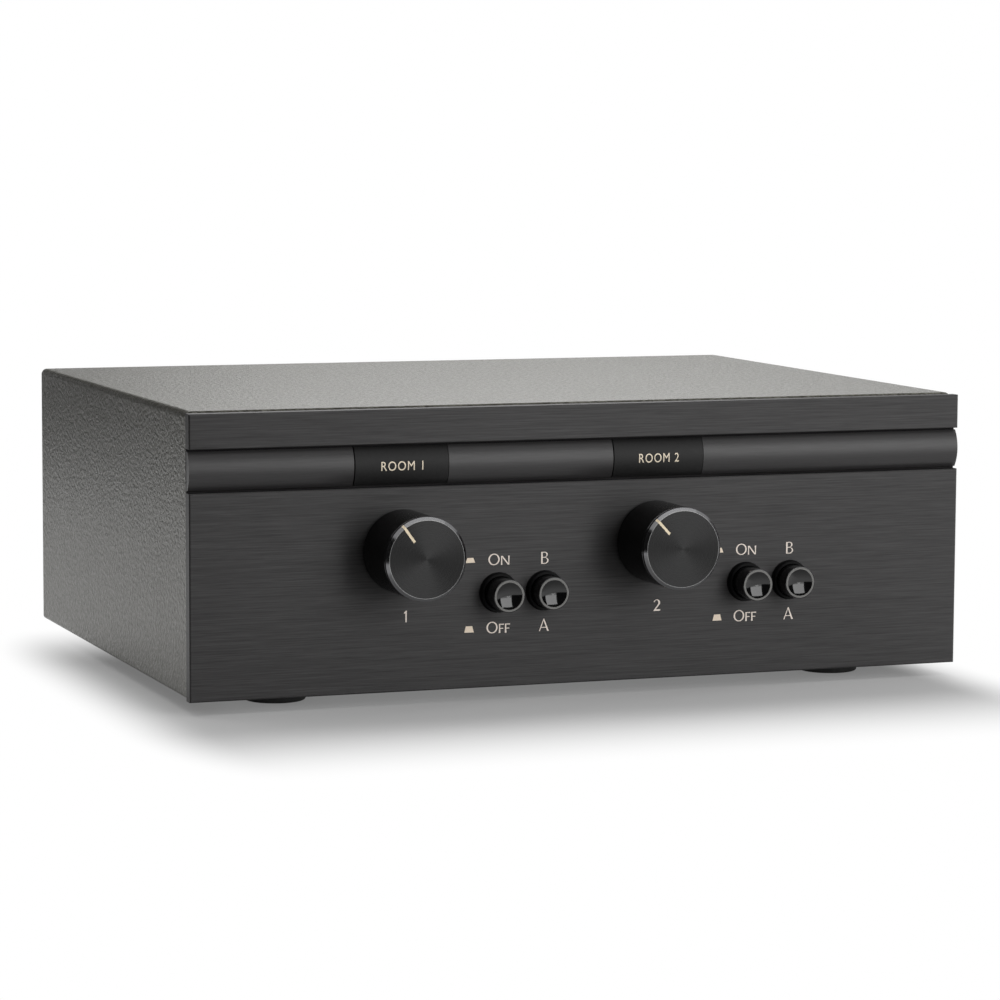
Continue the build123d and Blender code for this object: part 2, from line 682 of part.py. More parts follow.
pair_half_width = (source_button_from_control - power_button_from_control + switch_side) / 2
tower_width = 2 * (pair_half_width + switch_board_margin)
with BuildPart() as switch_board:
    with BuildSketch(upright(board_back_y)):
        strip_start = switch_tab_xs[0] - tower_width / 2
        strip_end = switch_tab_xs[1] + tower_width / 2
        with Locations(((strip_start + strip_end) / 2, (switch_board_low_z + switch_board_shoulder_z) / 2)):
            Rectangle(strip_end - strip_start, switch_board_shoulder_z - switch_board_low_z)
        with Locations(*[(x, (switch_board_low_z + switch_board_top_z) / 2) for x in switch_tab_xs]):
            Rectangle(tower_width, switch_board_top_z - switch_board_low_z)
        with Locations(*[(x, switch_tab_screw_z) for x in switch_tab_xs]):
            Circle(screw_diameter / 2 + screw_hole_clearance, mode=Mode.SUBTRACT)
    extrude(amount=board_thickness)
save(switch_board, "switch_board")

with BuildPart() as rear_board:
    with BuildSketch(upright(block_front_y)):
        with Locations((0, rear_board_mid_z)):
            Rectangle(rear_board_width, rear_board_height)
        with Locations(*[(x, rear_tab_screw_z) for x in rear_tab_xs]):
            Circle(screw_diameter / 2 + screw_hole_clearance, mode=Mode.SUBTRACT)
    extrude(amount=board_thickness)
save(rear_board, "rear_board")

# Flat cable: out of the back of the switch board, down to the chassis floor, up to the rear board
ribbon_floor_z = chassis_floor_z + ribbon_thickness / 2
with BuildPart() as ribbon_cable:
    with BuildSketch(Plane.YZ):
        with BuildLine():
            FilletPolyline(
                (board_back_y, chassis_floor_z + ribbon_front_height),
                (board_back_y + ribbon_lead, chassis_floor_z + ribbon_front_height),
                (board_back_y + ribbon_lead, ribbon_floor_z),
                (rear_board_front_y - ribbon_lead, ribbon_floor_z),
                (rear_board_front_y - ribbon_lead, chassis_floor_z + ribbon_rear_height),
                (rear_board_front_y, chassis_floor_z + ribbon_rear_height),
                radius=ribbon_bend,
            )
        trace(line_width=ribbon_thickness)
    extrude(amount=ribbon_width / 2, both=True)
save(ribbon_cable, "ribbon_cable")

# ---------------------------------------------------------------- terminal blocks

for name, x in blocks.items():
    pole_xs = [(pole - (block_poles - 1) / 2) * block_pitch for pole in range(block_poles)]
    with BuildPart() as block:
        with BuildSketch(upright(block_back_y, x, block_z)):
            Rectangle(block_width, block_height)
        extrude(amount=block_depth)
        chamfer(block.faces().sort_by(Axis.Y)[-1].edges(), block_chamfer)
        with BuildSketch(upright(block_back_y, x, block_z)):
            with Locations(*[(pole_x, 0) for pole_x in pole_xs]):
                Rectangle(wire_entry, wire_entry)
        extrude(amount=wire_entry_depth, mode=Mode.SUBTRACT)
        # clamp screws sunk in wells on the upper face
        with BuildSketch(Plane.XY.offset(block_z + block_height / 2)):
            with Locations(*[(x + pole_x, block_back_y - clamp_from_end) for pole_x in pole_xs]):
                Circle(clamp_well_diameter / 2)
        extrude(amount=-clamp_well_depth, mode=Mode.SUBTRACT)
        with BuildSketch(Plane.XY.offset(block_z + block_height / 2 - clamp_well_depth)):
            with Locations(*[(x + pole_x, block_back_y - clamp_from_end) for pole_x in pole_xs]):
                Rectangle(clamp_well_diameter, clamp_slot_width)
        extrude(amount=-clamp_slot_width, mode=Mode.SUBTRACT)
    save(block, name)

# ---------------------------------------------------------------- autoformers

core_base_z = chassis_floor_z
window_height = core_height - 2 * core_limb
window_width = (core_width - 4 * core_limb) / 2
window_x = core_limb + window_width / 2
coil_low_z = core_base_z + core_limb + coil_clearance
coil_height = window_height - 2 * coil_clearance
coil_width = 2 * (core_limb + window_width - coil_clearance)
coil_depth = core_stack + 2 * coil_overhang
coil_inner_width = 2 * (core_limb + coil_clearance)
coil_inner_depth = core_stack + 2 * coil_clearance

for name, (x, y) in autoformers.items():
    with BuildPart() as core:
        with BuildSketch(upright(y + core_stack / 2, x, core_base_z + core_height / 2)):
            Rectangle(core_width, core_height)
            with Locations((-window_x, 0), (window_x, 0)):
                Rectangle(window_width, window_height, mode=Mode.SUBTRACT)
        extrude(amount=core_stack)
    save(core, f"autoformer_core_{name}")

    with BuildPart() as coil:
        with BuildSketch(Plane((x, y, coil_low_z))):
            RectangleRounded(coil_width - 2 * coil_flange, coil_depth - 2 * coil_flange, coil_corner)
        extrude(amount=coil_height)
        with BuildSketch(Plane((x, y, coil_low_z)), Plane((x, y, coil_low_z + coil_height - coil_flange))):
            Rectangle(coil_width, coil_depth)
        extrude(amount=coil_flange)
        with BuildSketch(Plane((x, y, coil_low_z))):
            Rectangle(coil_inner_width, coil_inner_depth)
        extrude(amount=coil_height, mode=Mode.SUBTRACT)
    save(coil, f"autoformer_coil_{name}")

frame_depth = core_stack - 2 * frame_inset
with BuildPart() as autoformer_frames:
    for x, y in autoformers.values():
        with BuildSketch(upright(y + frame_depth / 2, x, core_base_z)):
            with Locations((0, (core_height + frame_sheet) / 2)):
                Rectangle(2 * frame_half_width, core_height + frame_sheet)
            with Locations((0, frame_sheet / 2)):
                Rectangle(2 * (frame_half_width + frame_foot), frame_sheet)
            with Locations((0, core_height / 2)):
                Rectangle(core_width, core_height, mode=Mode.SUBTRACT)
        extrude(amount=frame_depth)
    with BuildSketch(Plane.XY.offset(core_base_z)):
        with Locations(*frame_screw_spots):
            Circle(screw_diameter / 2 + screw_hole_clearance)
    extrude(amount=frame_sheet, mode=Mode.SUBTRACT)
save(autoformer_frames, "autoformer_frames")

# ---------------------------------------------------------------- screws


def pan_head_screw(length):
    """Cross-recessed screw whose head sits on the XY plane and whose thread points down."""
    with BuildPart() as screw:
        Cylinder(screw_head_diameter / 2, screw_head_height, align=ON_BASE)
        fillet(screw.edges().sort_by(Axis.Z)[-1], screw_head_height / 2)
        Cylinder(screw_diameter / 2, length, align=UNDER_BASE)
        with BuildSketch(Plane.XY.offset(screw_head_height)):
            Rectangle(screw_recess_length, screw_recess_width)
            Rectangle(screw_recess_width, screw_recess_length)
        extrude(amount=-screw_recess, mode=Mode.SUBTRACT)
    return screw.part


with BuildPart() as panel_screws:
    seats = [Location(Plane(origin=(x, sub_panel_back_y, z), z_dir=(0, 1, 0))) for x, z in panel_screw_spots]
    with Locations(*seats):
        add(pan_head_screw(chassis_sheet + panel_screw_bite))
save(panel_screws, "panel_screws")

with BuildPart() as cover_screws:
    seats = [Location(Plane(origin=(x, y, cover_low_z), z_dir=(0, 0, -1))) for x, y in cover_screw_spots]
    with Locations(*seats):
        add(pan_head_screw(cover_sheet + chassis_sheet + screw_point))
save(cover_screws, "cover_screws")

with BuildPart() as foot_screws:
    seats = [Location(Plane(origin=(x, y, foot_well_depth), z_dir=(0, 0, -1))) for x, y in foot_spots]
    with Locations(*seats):
        add(pan_head_screw(foot_height - foot_well_depth + chassis_sheet + screw_point))
save(foot_screws, "foot_screws")

with BuildPart() as inside_screws:
    frame_seat_z = chassis_floor_z + frame_sheet
    seats = [Location(Plane((x, y, frame_seat_z))) for x, y in frame_screw_spots]
    with Locations(*seats):
        add(pan_head_screw(frame_sheet + chassis_sheet + screw_point))
    switch_seats = [Plane((x, board_back_y, switch_tab_screw_z), z_dir=(0, 1, 0)) for x in switch_tab_xs]
    rear_seats = [Plane((x, rear_board_front_y, rear_tab_screw_z), z_dir=(0, -1, 0)) for x in rear_tab_xs]
    with Locations(*[Location(seat) for seat in switch_seats + rear_seats]):
        add(pan_head_screw(board_thickness + chassis_sheet + screw_point))
save(inside_screws, "inside_screws")
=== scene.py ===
# %% [markdown]
# # Speaker selector switch for two rooms
#
# A flat steel box with a thick brushed front panel. Each room has a stepped volume knob and two latching
# push buttons. The cells go from the camera to the finishes, the paint in the knobs, the printed words, the
# terminal blocks at the back, and the studio. X runs to the right, Y to the back and Z up.

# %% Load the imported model
from math import cos, pi, radians, sin, sqrt

import bpy
from mathutils import Matrix, Vector


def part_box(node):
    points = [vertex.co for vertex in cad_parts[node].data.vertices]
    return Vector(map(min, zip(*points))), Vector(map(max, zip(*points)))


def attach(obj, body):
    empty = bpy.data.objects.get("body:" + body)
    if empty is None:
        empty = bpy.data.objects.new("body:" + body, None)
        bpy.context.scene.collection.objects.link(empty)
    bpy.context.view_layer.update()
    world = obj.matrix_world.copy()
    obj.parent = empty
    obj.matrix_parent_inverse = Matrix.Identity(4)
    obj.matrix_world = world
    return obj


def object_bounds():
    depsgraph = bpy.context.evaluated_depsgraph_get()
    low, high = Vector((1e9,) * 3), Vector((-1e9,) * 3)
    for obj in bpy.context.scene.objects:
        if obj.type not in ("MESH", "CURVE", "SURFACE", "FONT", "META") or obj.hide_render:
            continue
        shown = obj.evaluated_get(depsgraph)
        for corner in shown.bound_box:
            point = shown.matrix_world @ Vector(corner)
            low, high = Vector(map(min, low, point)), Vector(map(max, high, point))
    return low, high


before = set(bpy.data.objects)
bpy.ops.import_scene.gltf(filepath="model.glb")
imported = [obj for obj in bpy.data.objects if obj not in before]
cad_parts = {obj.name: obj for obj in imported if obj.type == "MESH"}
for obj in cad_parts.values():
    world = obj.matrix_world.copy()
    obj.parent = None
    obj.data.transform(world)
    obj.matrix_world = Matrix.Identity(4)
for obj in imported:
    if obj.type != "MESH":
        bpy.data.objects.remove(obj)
cad_low, cad_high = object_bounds()
scene = bpy.context.scene
mm = 0.001
print("nodes:", len(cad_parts), "size in mm:", [round(side / mm) for side in cad_high - cad_low])

# %% [markdown]
# ## The camera
#
# A product shot like this is taken from about a metre away with a long lens, a little to the left of the
# box and slightly above it. A long lens keeps the front panel almost square. The three turns are kept as
# angles and made into a matrix here, because a matrix leaves no doubt about their order.

# %% Camera
panel_low, panel_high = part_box("front_panel")
face_y = panel_low.y
panel_base = panel_low.z

camera_left, camera_front, camera_above = 0.4292, 1.0704, 0.1827
turn_right, tilt_down, roll = radians(20.46), radians(6.16), radians(0.28)
look = Vector((sin(turn_right) * cos(tilt_down), cos(turn_right) * cos(tilt_down), -sin(tilt_down)))
level = Vector((cos(turn_right), -sin(turn_right), 0))
rise = level.cross(look)
right = cos(roll) * level + sin(roll) * rise
up = cos(roll) * rise - sin(roll) * level

bpy.ops.object.camera_add()
camera = bpy.context.object
camera.name = "camera"
camera_place = Matrix.Translation((-camera_left, face_y - camera_front, panel_base + camera_above))
camera.matrix_world = camera_place @ Matrix((right, up, -look)).transposed().to_4x4()
camera.data.sensor_width = 36        # both in millimetres
camera.data.lens = 131.5
scene.camera = camera
scene.view_settings.view_transform = "Standard"
print("camera at", [round(c, 3) for c in camera.location], "lens", camera.data.lens)

# %% [markdown]
# ## A start for every finish
#
# All finishes here are one Principled shader with a pattern in front of it. Patterns read Object
# coordinates, so they stay at their real size and don't swim when the box is turned. The helpers below
# make the shader and the patterns; each finish then says in a few lines what is special about it. The same
# helpers serve the world, which has a node tree as well.

# %% Helpers for finishes
def new_finish(name, colour, roughness, metallic=0.0, **sockets):
    """A material with one Principled shader; other sockets are named with _ for a space."""
    finish = bpy.data.materials.new(name)
    finish.use_nodes = True
    shader = finish.node_tree.nodes["Principled BSDF"]
    shader.inputs["Base Color"].default_value = (*colour, 1)
    shader.inputs["Roughness"].default_value = roughness
    shader.inputs["Metallic"].default_value = metallic
    for socket, value in sockets.items():
        shader.inputs[socket.replace("_", " ")].default_value = value
    return finish


def shader_of(finish):
    return finish.node_tree.nodes["Principled BSDF"]


def node(finish, kind, **settings):
    """Add a node and set its properties; a setting that is no property goes to the input of that name."""
    made = finish.node_tree.nodes.new("ShaderNode" + kind)
    for key, value in settings.items():
        if hasattr(made, key):
            setattr(made, key, value)
        else:
            made.inputs[key.replace("_", " ")].default_value = value
    return made


def join(finish, source, target, socket, output=0):
    finish.node_tree.links.new(source.outputs[output], target.inputs[socket])


def combine(finish, operation, first, second, outputs=(0, 0)):
    """Join two values by one operation of a Math node."""
    result = node(finish, "Math", operation=operation)
    join(finish, first, result, 0, outputs[0])
    join(finish, second, result, 1, outputs[1])
    return result


def unsigned(finish, source, output=0):
    """A value without its sign."""
    result = node(finish, "Math", operation="ABSOLUTE")
    join(finish, source, result, 0, output)
    return result


def vector_math(finish, operation, source, other=None, output=0):
    """One operation on a vector, with a second vector where the operation takes two."""
    result = node(finish, "VectorMath", operation=operation)
    join(finish, source, result, 0, output)
    if other is not None:
        result.inputs[1].default_value = other
    return result


def grain(finish, scale=(1, 1, 1), detail=3.0, size=1000.0, rough=0.6):
    """Noise on Object coordinates; scale stretches it, and size is in features per metre."""
    place = node(finish, "TexCoord")
    mapping = node(finish, "Mapping", Scale=scale)
    noise = node(finish, "TexNoise", Scale=size, Detail=detail, Roughness=rough)
    join(finish, place, mapping, "Vector", "Object")
    join(finish, mapping, noise, "Vector")
    return noise


def round_axis(finish, centre):
    """Distance from an axis along Y through centre, and the place measured from that centre."""
    place = node(finish, "TexCoord")
    from_centre = node(finish, "Mapping", Location=-centre)
    join(finish, place, from_centre, "Vector", "Object")
    flat = vector_math(finish, "MULTIPLY", from_centre, (1, 0, 1))
    return vector_math(finish, "LENGTH", flat), from_centre


def spread(finish, source, low, high, start=0.3, end=0.7, output=0):
    """Turn a grey pattern into values from low to high."""
    limits = node(finish, "MapRange", From_Min=start, From_Max=end, To_Min=low, To_Max=high)
    join(finish, source, limits, "Value", output)
    return limits


def ring(finish, distance, radius, half_width, softness):
    """1 on a ring of that radius and 0 off it; softness is the part of the width over which it fades."""
    across = spread(finish, distance, -1, 1, radius - half_width, radius + half_width, "Value")
    return spread(finish, unsigned(finish, across), 1, 0, 0.5 - softness, 0.5 + softness)


def ramp(finish, source, dark, light, start, end):
    """Turn a grey pattern into colours from dark to light."""
    colours = node(finish, "ValToRGB")
    for stop, position, colour in zip(colours.color_ramp.elements, (start, end), (dark, light)):
        stop.position = position
        stop.color = (*colour, 1)
    join(finish, source, colours, "Fac")
    return colours


def tint(finish, source, dark, light, start=0.3, end=0.7):
    """Colour the surface from dark to light by a grey pattern."""
    join(finish, ramp(finish, source, dark, light, start, end), shader_of(finish), "Base Color")


def overlay(finish, below, mask, colour):
    """Lay a plain colour over another one where the mask is 1."""
    mixed = node(finish, "MixRGB", Color2=(*colour, 1))
    join(finish, mask, mixed, "Fac")
    join(finish, below, mixed, "Color1")
    return mixed


def shine(finish, source, low, high, start=0.3, end=0.7):
    """Vary the roughness from low to high by a grey pattern."""
    join(finish, spread(finish, source, low, high, start, end), shader_of(finish), "Roughness")


def emboss(finish, source, height, strength=1.0):
    """Let a grey pattern stand up from the surface by height metres."""
    bump = node(finish, "Bump", Distance=height, Strength=strength)
    join(finish, source, bump, "Height")
    join(finish, bump, shader_of(finish), "Normal")


def dress(finish, *names):
    """Give CAD nodes a finish."""
    for name in names:
        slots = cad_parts[name].data.materials
        slots.clear()
        slots.append(finish)
    print(finish.name, "on", *names)


# %% [markdown]
# ## Brushed front panel
#
# The panel is aluminium, brushed from side to side and then anodised black. Brushing leaves fine grooves
# that run the whole way, so the noise is stretched: long along X and very short along Z. Grooves also
# spread a reflection across themselves, up and down the panel. That is what Anisotropic does, once its
# tangent points across the grooves, and the cross product of the normal and X is such a direction. The X
# used leans a little, so that the panel's two ends, which face along X, get a direction as well.

# %% Brushed black
leaning_x = (1, 0.02, 0)


def brush_along_x(finish):
    """Spread the reflection across grooves that run along X."""
    surface = node(finish, "NewGeometry")
    across = vector_math(finish, "CROSS_PRODUCT", surface, leaning_x, "Normal")
    join(finish, across, shader_of(finish), "Tangent")


brushed_black = new_finish("brushed_black", (0.022, 0.021, 0.0215), 0.36, IOR=1.36, Anisotropic=0.8)
brush_along_x(brushed_black)
grooves = grain(brushed_black, scale=(0.02, 1, 1), size=2600, detail=3, rough=0.75)
tint(brushed_black, grooves, (0.014, 0.013, 0.0135), (0.036, 0.0345, 0.035))
shine(brushed_black, grooves, 0.46, 0.34)
emboss(brushed_black, grooves, 0.007 * mm)
dress(brushed_black, "front_panel")

# %% [markdown]
# The inside of the channel that holds the trim and the panel's ends get painted shade: their reflection is
# turned almost off, so the channel shows as a dark shadow gap and the ends as shaded. A mask finds them by
# their place: behind the face and level with the channel, or at either end.

# %% Painted shade in the channel and at the ends
channel_middle = 71.25 * mm          # above the panel's lower edge
channel_half = 6.85 * mm
mask_blend = 0.1 * mm
# painted shade: it begins this far behind the face, inside the channel
shade_start, shade_full = face_y + 0.25 * mm, face_y + 0.4 * mm
end_start, end_full = panel_high.x - mask_blend, panel_high.x - mask_blend / 2
end_shade = 0.6
brushed_level, shaded_level = 0.48, 0.03

face_place = node(brushed_black, "TexCoord")
face_parts = node(brushed_black, "SeparateXYZ")
join(brushed_black, face_place, face_parts, "Vector", "Object")
behind_face = spread(brushed_black, face_parts, 0, 1, shade_start, shade_full, "Y")
above_middle = node(brushed_black, "Math", operation="SUBTRACT")
join(brushed_black, face_parts, above_middle, 0, "Z")
above_middle.inputs[1].default_value = panel_base + channel_middle
from_middle = unsigned(brushed_black, above_middle)
in_band = spread(brushed_black, from_middle, 1, 0, channel_half, channel_half + mask_blend)
in_channel = combine(brushed_black, "MULTIPLY", behind_face, in_band)
off_centre = unsigned(brushed_black, face_parts, "X")
at_end = spread(brushed_black, off_centre, 0, end_shade, end_start, end_full)
# painted shade: the channel and the ends reflect far less than the face, so they read as shaded
painted_shade_places = combine(brushed_black, "MAXIMUM", in_channel, at_end)
reflection = spread(brushed_black, painted_shade_places, brushed_level, shaded_level, 0, 1)
join(brushed_black, reflection, shader_of(brushed_black), "Specular IOR Level")
print("channel from", round((channel_middle - channel_half) / mm, 1), "mm above the panel's lower edge")

# %% [markdown]
# ## Satin trim bars
#
# The rounded bars are anodised too, with a much finer grain. Their shine is a soft band along the crown,
# and it needs a roughness that is low enough to show the lamp and high enough to blur it.

# %% Satin trim
satin_black = new_finish("satin_black", (0.03, 0.029, 0.0295), 0.34, IOR=1.4, Anisotropic=0.3)
brush_along_x(satin_black)
fine_grain = grain(satin_black, scale=(0.03, 1, 1), size=3500, detail=2)
tint(satin_black, fine_grain, (0.026, 0.025, 0.0255), (0.034, 0.0325, 0.033))
shine(satin_black, fine_grain, 0.37, 0.32)
dress(satin_black, "trim_bar_left", "trim_bar_middle", "trim_bar_right")

# %% [markdown]
# ## Engraved name plates
#
# The plates are laminated plastic for engraving: a black skin over a light core. The skin is matt with a
# very slight orange peel, and it looks much darker than the metal on either side.

# %% Plate black
plate_black = new_finish("plate_black", (0.012, 0.0118, 0.0118), 0.5, IOR=1.3)
peel = grain(plate_black, size=900, detail=2)
tint(plate_black, peel, (0.01, 0.0098, 0.0098), (0.014, 0.0138, 0.0138))
shine(plate_black, peel, 0.46, 0.54)
dress(plate_black, "name_plate_1", "name_plate_2")

# %% [markdown]
# ## Textured paint
#
# The cover is steel with a powder coat that has cured into a fine pebble. Seen along the surface the
# pebble catches the light in specks, so the height matters more than the colour, which is a warm black.

# %% Textured paint
warm_white = (1, 0.98, 0.88, 1)
pebble_paint = new_finish("pebble_paint", (0.027, 0.0257, 0.0195), 0.34, IOR=1.68, Specular_Tint=warm_white)
pebbles = grain(pebble_paint, size=760, detail=3, rough=0.55)
tint(pebble_paint, pebbles, (0.0165, 0.0157, 0.0119), (0.0375, 0.0357, 0.0271))
shine(pebble_paint, pebbles, 0.42, 0.28)
emboss(pebble_paint, pebbles, 0.5 * mm)
dress(pebble_paint, "top_cover")

# %% [markdown]
# ## Turned knobs
#
# The knobs are turned from bar on a lathe. The tool leaves rings round the axis, on the face and on the
# side alike, so the pattern reads two numbers only: the distance from the axis and the place along it.
# The rings spread a reflection outwards from the middle, which gives the face its hourglass of light. The
# Tangent node goes round an axis, and a quarter turn of Anisotropic Rotation points the spread outwards.
# The bevelled edge is cut last, with a sharper tool: it is smoother, it shines like the metal under the
# dye, and the thin light line where it meets the face is a painted highlight.

# %% Turned black
rooms = (1, 2)
knob_radius = 13.1 * mm
face_radius = 12.15 * mm
knob_black = (0.0022, 0.0022, 0.0023)
turned_roughness, cut_roughness = 0.28, 0.18
rings_per_metre = 3000
ring_height = 0.004 * mm
bevel_colour = (0.17, 0.17, 0.175)
# painted highlight: a thin lighter ring at the face's edge stands in for the light the edge catches
edge_highlight_width = 0.22 * mm
edge_highlight_colour = (0.2, 0.2, 0.2)


def turned_finish(name, centre):
    """Rings round an axis along Y through centre."""
    spread_outwards = {"Anisotropic": 0.9, "Anisotropic_Rotation": 0.25}
    finish = new_finish(name, knob_black, turned_roughness, IOR=1.33, **spread_outwards)
    distance, from_centre = round_axis(finish, centre)
    parts = node(finish, "SeparateXYZ")
    rings_at = node(finish, "CombineXYZ")
    rings = node(finish, "TexNoise", Scale=rings_per_metre, Detail=3, Roughness=0.7)
    join(finish, from_centre, parts, "Vector")
    join(finish, distance, rings_at, "X", "Value")
    join(finish, parts, rings_at, "Y", "Y")
    join(finish, rings_at, rings, "Vector")
    along_groove = node(finish, "Tangent", direction_type="RADIAL", axis="Y")
    join(finish, along_groove, shader_of(finish), "Tangent")
    emboss(finish, rings, ring_height)

    uneven = spread(finish, rings, -0.04, 0.06)
    smoother = (face_radius - mask_blend, face_radius, "Value")
    gloss = spread(finish, distance, turned_roughness, cut_roughness, *smoother)
    join(finish, combine(finish, "ADD", uneven, gloss), shader_of(finish), "Roughness")

    bevel_start, bevel_end = face_radius - mask_blend / 2, knob_radius - mask_blend / 2
    off_face = spread(finish, distance, 0, 1, bevel_start - mask_blend / 2, bevel_start, "Value")
    off_side = spread(finish, distance, 1, 0, bevel_end, bevel_end + 0.03 * mm, "Value")
    on_bevel = combine(finish, "MULTIPLY", off_face, off_side)
    join(finish, on_bevel, shader_of(finish), "Metallic")
    dye = ramp(finish, rings, [0.7 * c for c in knob_black], [1.3 * c for c in knob_black], 0, 1)
    bevelled = overlay(finish, dye, on_bevel, bevel_colour)
    # painted highlight: the ring where face and bevel meet is made lighter in colour
    on_edge_highlight = ring(finish, distance, face_radius, edge_highlight_width, 0.15)
    join(finish, overlay(finish, bevelled, on_edge_highlight, edge_highlight_colour), shader_of(finish), "Base Color")
    return finish


knob_axes = {}
for room in rooms:
    low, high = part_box(f"knob_{room}")
    knob_axes[room] = (low + high) / 2
    dress(turned_finish(f"turned_black_{room}", knob_axes[room]), f"knob_{room}")
    print("knob", room, "axis", [round(c / mm, 1) for c in knob_axes[room]])

# %% [markdown]
# ## Glossy buttons
#
# The caps are moulded in hard black plastic and polished, so their hollowed faces mirror the room upside
# down. Almost all of the look is reflection. A faint wave in the surface keeps it from looking like glass.
# The flat rim round each hollow is satin, and the thin light ring on it is a painted highlight, so each cap
# needs the distance from its own axis.

# %% Polished black
rim_radius = 4.6 * mm
rim_width = 0.6 * mm
rim_depths = (0.15 * mm, 0.3 * mm)   # behind the rim's face, where the satin ends
cap_black = (0.003, 0.003, 0.0032)
# painted highlight: the light colour of the rim ring stands in for the light it catches
rim_highlight_colour = (0.13, 0.127, 0.12)


def polished_cap(name, centre, front):
    """Polished plastic with a satin rim that carries a painted highlight ring; front is the Y of the rim."""
    finish = new_finish(name, cap_black, 0.06, IOR=1.54)
    distance, from_centre = round_axis(finish, centre)
    near_rim_highlight = ring(finish, distance, rim_radius, rim_width, 0.05)
    parts = node(finish, "SeparateXYZ")
    join(finish, from_centre, parts, "Vector")
    rim_start, rim_end = [front - centre.y + depth for depth in rim_depths]
    in_front = spread(finish, parts, 1, 0, rim_start, rim_end, "Y")
    on_rim_highlight = combine(finish, "MULTIPLY", near_rim_highlight, in_front)
    # painted highlight on the rim in colour; its higher roughness is the real satin
    tint(finish, on_rim_highlight, cap_black, rim_highlight_colour, 0, 1)
    shine(finish, on_rim_highlight, 0.07, 0.4, 0, 1)
    flow = grain(finish, size=350, detail=1)
    emboss(finish, flow, 0.01 * mm)
    return finish


buttons = [f"{kind}_button_{room}" for kind in ("power", "source") for room in rooms]
for button in buttons:
    low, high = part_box(button)
    dress(polished_cap(f"polished_{button}", (low + high) / 2, low.y), button)

# %% [markdown]
# ## Bezels and feet
#
# The collars round the buttons are the same plastic with a dull surface. The feet are rubber, which is
# matt and slightly dusty, lighter where it has been touched.

# %% Dull black
dull_black = new_finish("dull_black", (0.003, 0.003, 0.0033), 0.45, IOR=1.18)
skin = grain(dull_black, size=2500, detail=2)
tint(dull_black, skin, (0.002, 0.002, 0.0023), (0.004, 0.004, 0.0043))
emboss(dull_black, skin, 0.01 * mm)
dress(dull_black, "button_bezels")

rubber = new_finish("rubber", (0.018, 0.018, 0.018), 0.75, IOR=1.45)
dust = grain(rubber, size=400, detail=5)
tint(rubber, dust, (0.012, 0.012, 0.012), (0.03, 0.03, 0.029))
emboss(rubber, dust, 0.03 * mm)
dress(rubber, *[f"foot_{end}_{side}" for end in ("front", "rear") for side in ("left", "right")])

# %% [markdown]
# ## Plated steel
#
# The chassis is zinc plated sheet. Zinc is a soft grey metal with a faint cloudy look, and its rolling
# marks run the length of the sheet. The turned and stamped steel inside is brighter, and the screws that
# show are blackened. One function makes them all, and the brass as well, because only colour, gloss and
# grain differ.

# %% Steels
def steel(name, colour, roughness, stretch=(1, 0.05, 1), size=1500):
    """Bare or plated metal with a streaky grain."""
    finish = new_finish(name, colour, roughness, metallic=1.0)
    marks = grain(finish, scale=stretch, size=size, detail=4)
    tint(finish, marks, [0.85 * c for c in colour], [1.1 * c for c in colour])
    shine(finish, marks, roughness - 0.06, roughness + 0.1)
    emboss(finish, marks, 0.003 * mm)
    return finish


zinc_plate = steel("zinc_plate", (0.5, 0.51, 0.51), 0.42)
dress(zinc_plate, "chassis", "autoformer_frames", "switch_housing_1", "switch_housing_2")

bright_steel = steel("bright_steel", (0.62, 0.62, 0.6), 0.28, stretch=(1, 1, 1), size=2500)
dress(bright_steel, "panel_screws", "inside_screws", "shaft_nuts", "lock_washers")
dress(bright_steel, "control_shaft_1", "control_shaft_2")

black_screw = steel("black_screw", (0.06, 0.06, 0.06), 0.4, stretch=(1, 1, 1), size=2500)
dress(black_screw, "cover_screws", "foot_screws", "knob_set_screw_1", "knob_set_screw_2")

brass = steel("brass", (0.72, 0.53, 0.25), 0.3, stretch=(1, 1, 1), size=2500)
dress(brass, "deck_posts")

# %% [markdown]
# ## Autoformers
#
# Each autoformer is a stack of thin varnished steel plates round a copper winding. The plates are half a
# millimetre thick and stacked from front to back, so the core shows fine lines across Y. The winding shows
# its turns one above the other, across Z. A Wave texture draws both.

# %% Laminations and windings
def banded(name, direction, pitch, dark, light, roughness, metallic):
    """Bands across one axis, pitch metres apart, with a groove between them."""
    finish = new_finish(name, light, roughness, metallic)
    place = node(finish, "TexCoord")
    scale = pi / (10 * pitch)
    bands = node(
        finish, "TexWave", bands_direction=direction, Scale=scale, Distortion=0.4, Detail=2, Detail_Scale=3
    )
    join(finish, place, bands, "Vector", "Object")
    tint(finish, bands, dark, light, 0.1, 0.6)
    emboss(finish, bands, 0.2 * pitch, 0.6)
    return finish


laminations = banded("laminations", "Y", 0.5 * mm, (0.03, 0.028, 0.026), (0.14, 0.135, 0.13), 0.45, 0.8)
windings = banded("windings", "Z", 0.8 * mm, (0.12, 0.04, 0.015), (0.5, 0.2, 0.08), 0.3, 0.9)
for room in rooms:
    for side in ("left", "right"):
        dress(laminations, f"autoformer_core_{room}_{side}")
        dress(windings, f"autoformer_coil_{room}_{side}")

# %% [markdown]
# ## Ribbon cable
#
# A grey ribbon cable is a row of round wires moulded side by side, 1.27 mm apart across X. The same Wave
# texture draws the wires, now with soft grey bands.

# %% Ribbon
ribbon = banded("ribbon", "X", 1.27 * mm, (0.22, 0.22, 0.23), (0.36, 0.36, 0.37), 0.5, 0.0)
dress(ribbon, "ribbon_cable")

# %% [markdown]
# ## Circuit boards
#
# Green solder mask lies over copper tracks, and the covered tracks show as slightly lighter, raised green.
# A Brick texture turned into long thin cells looks like runs of track, and costs no geometry.

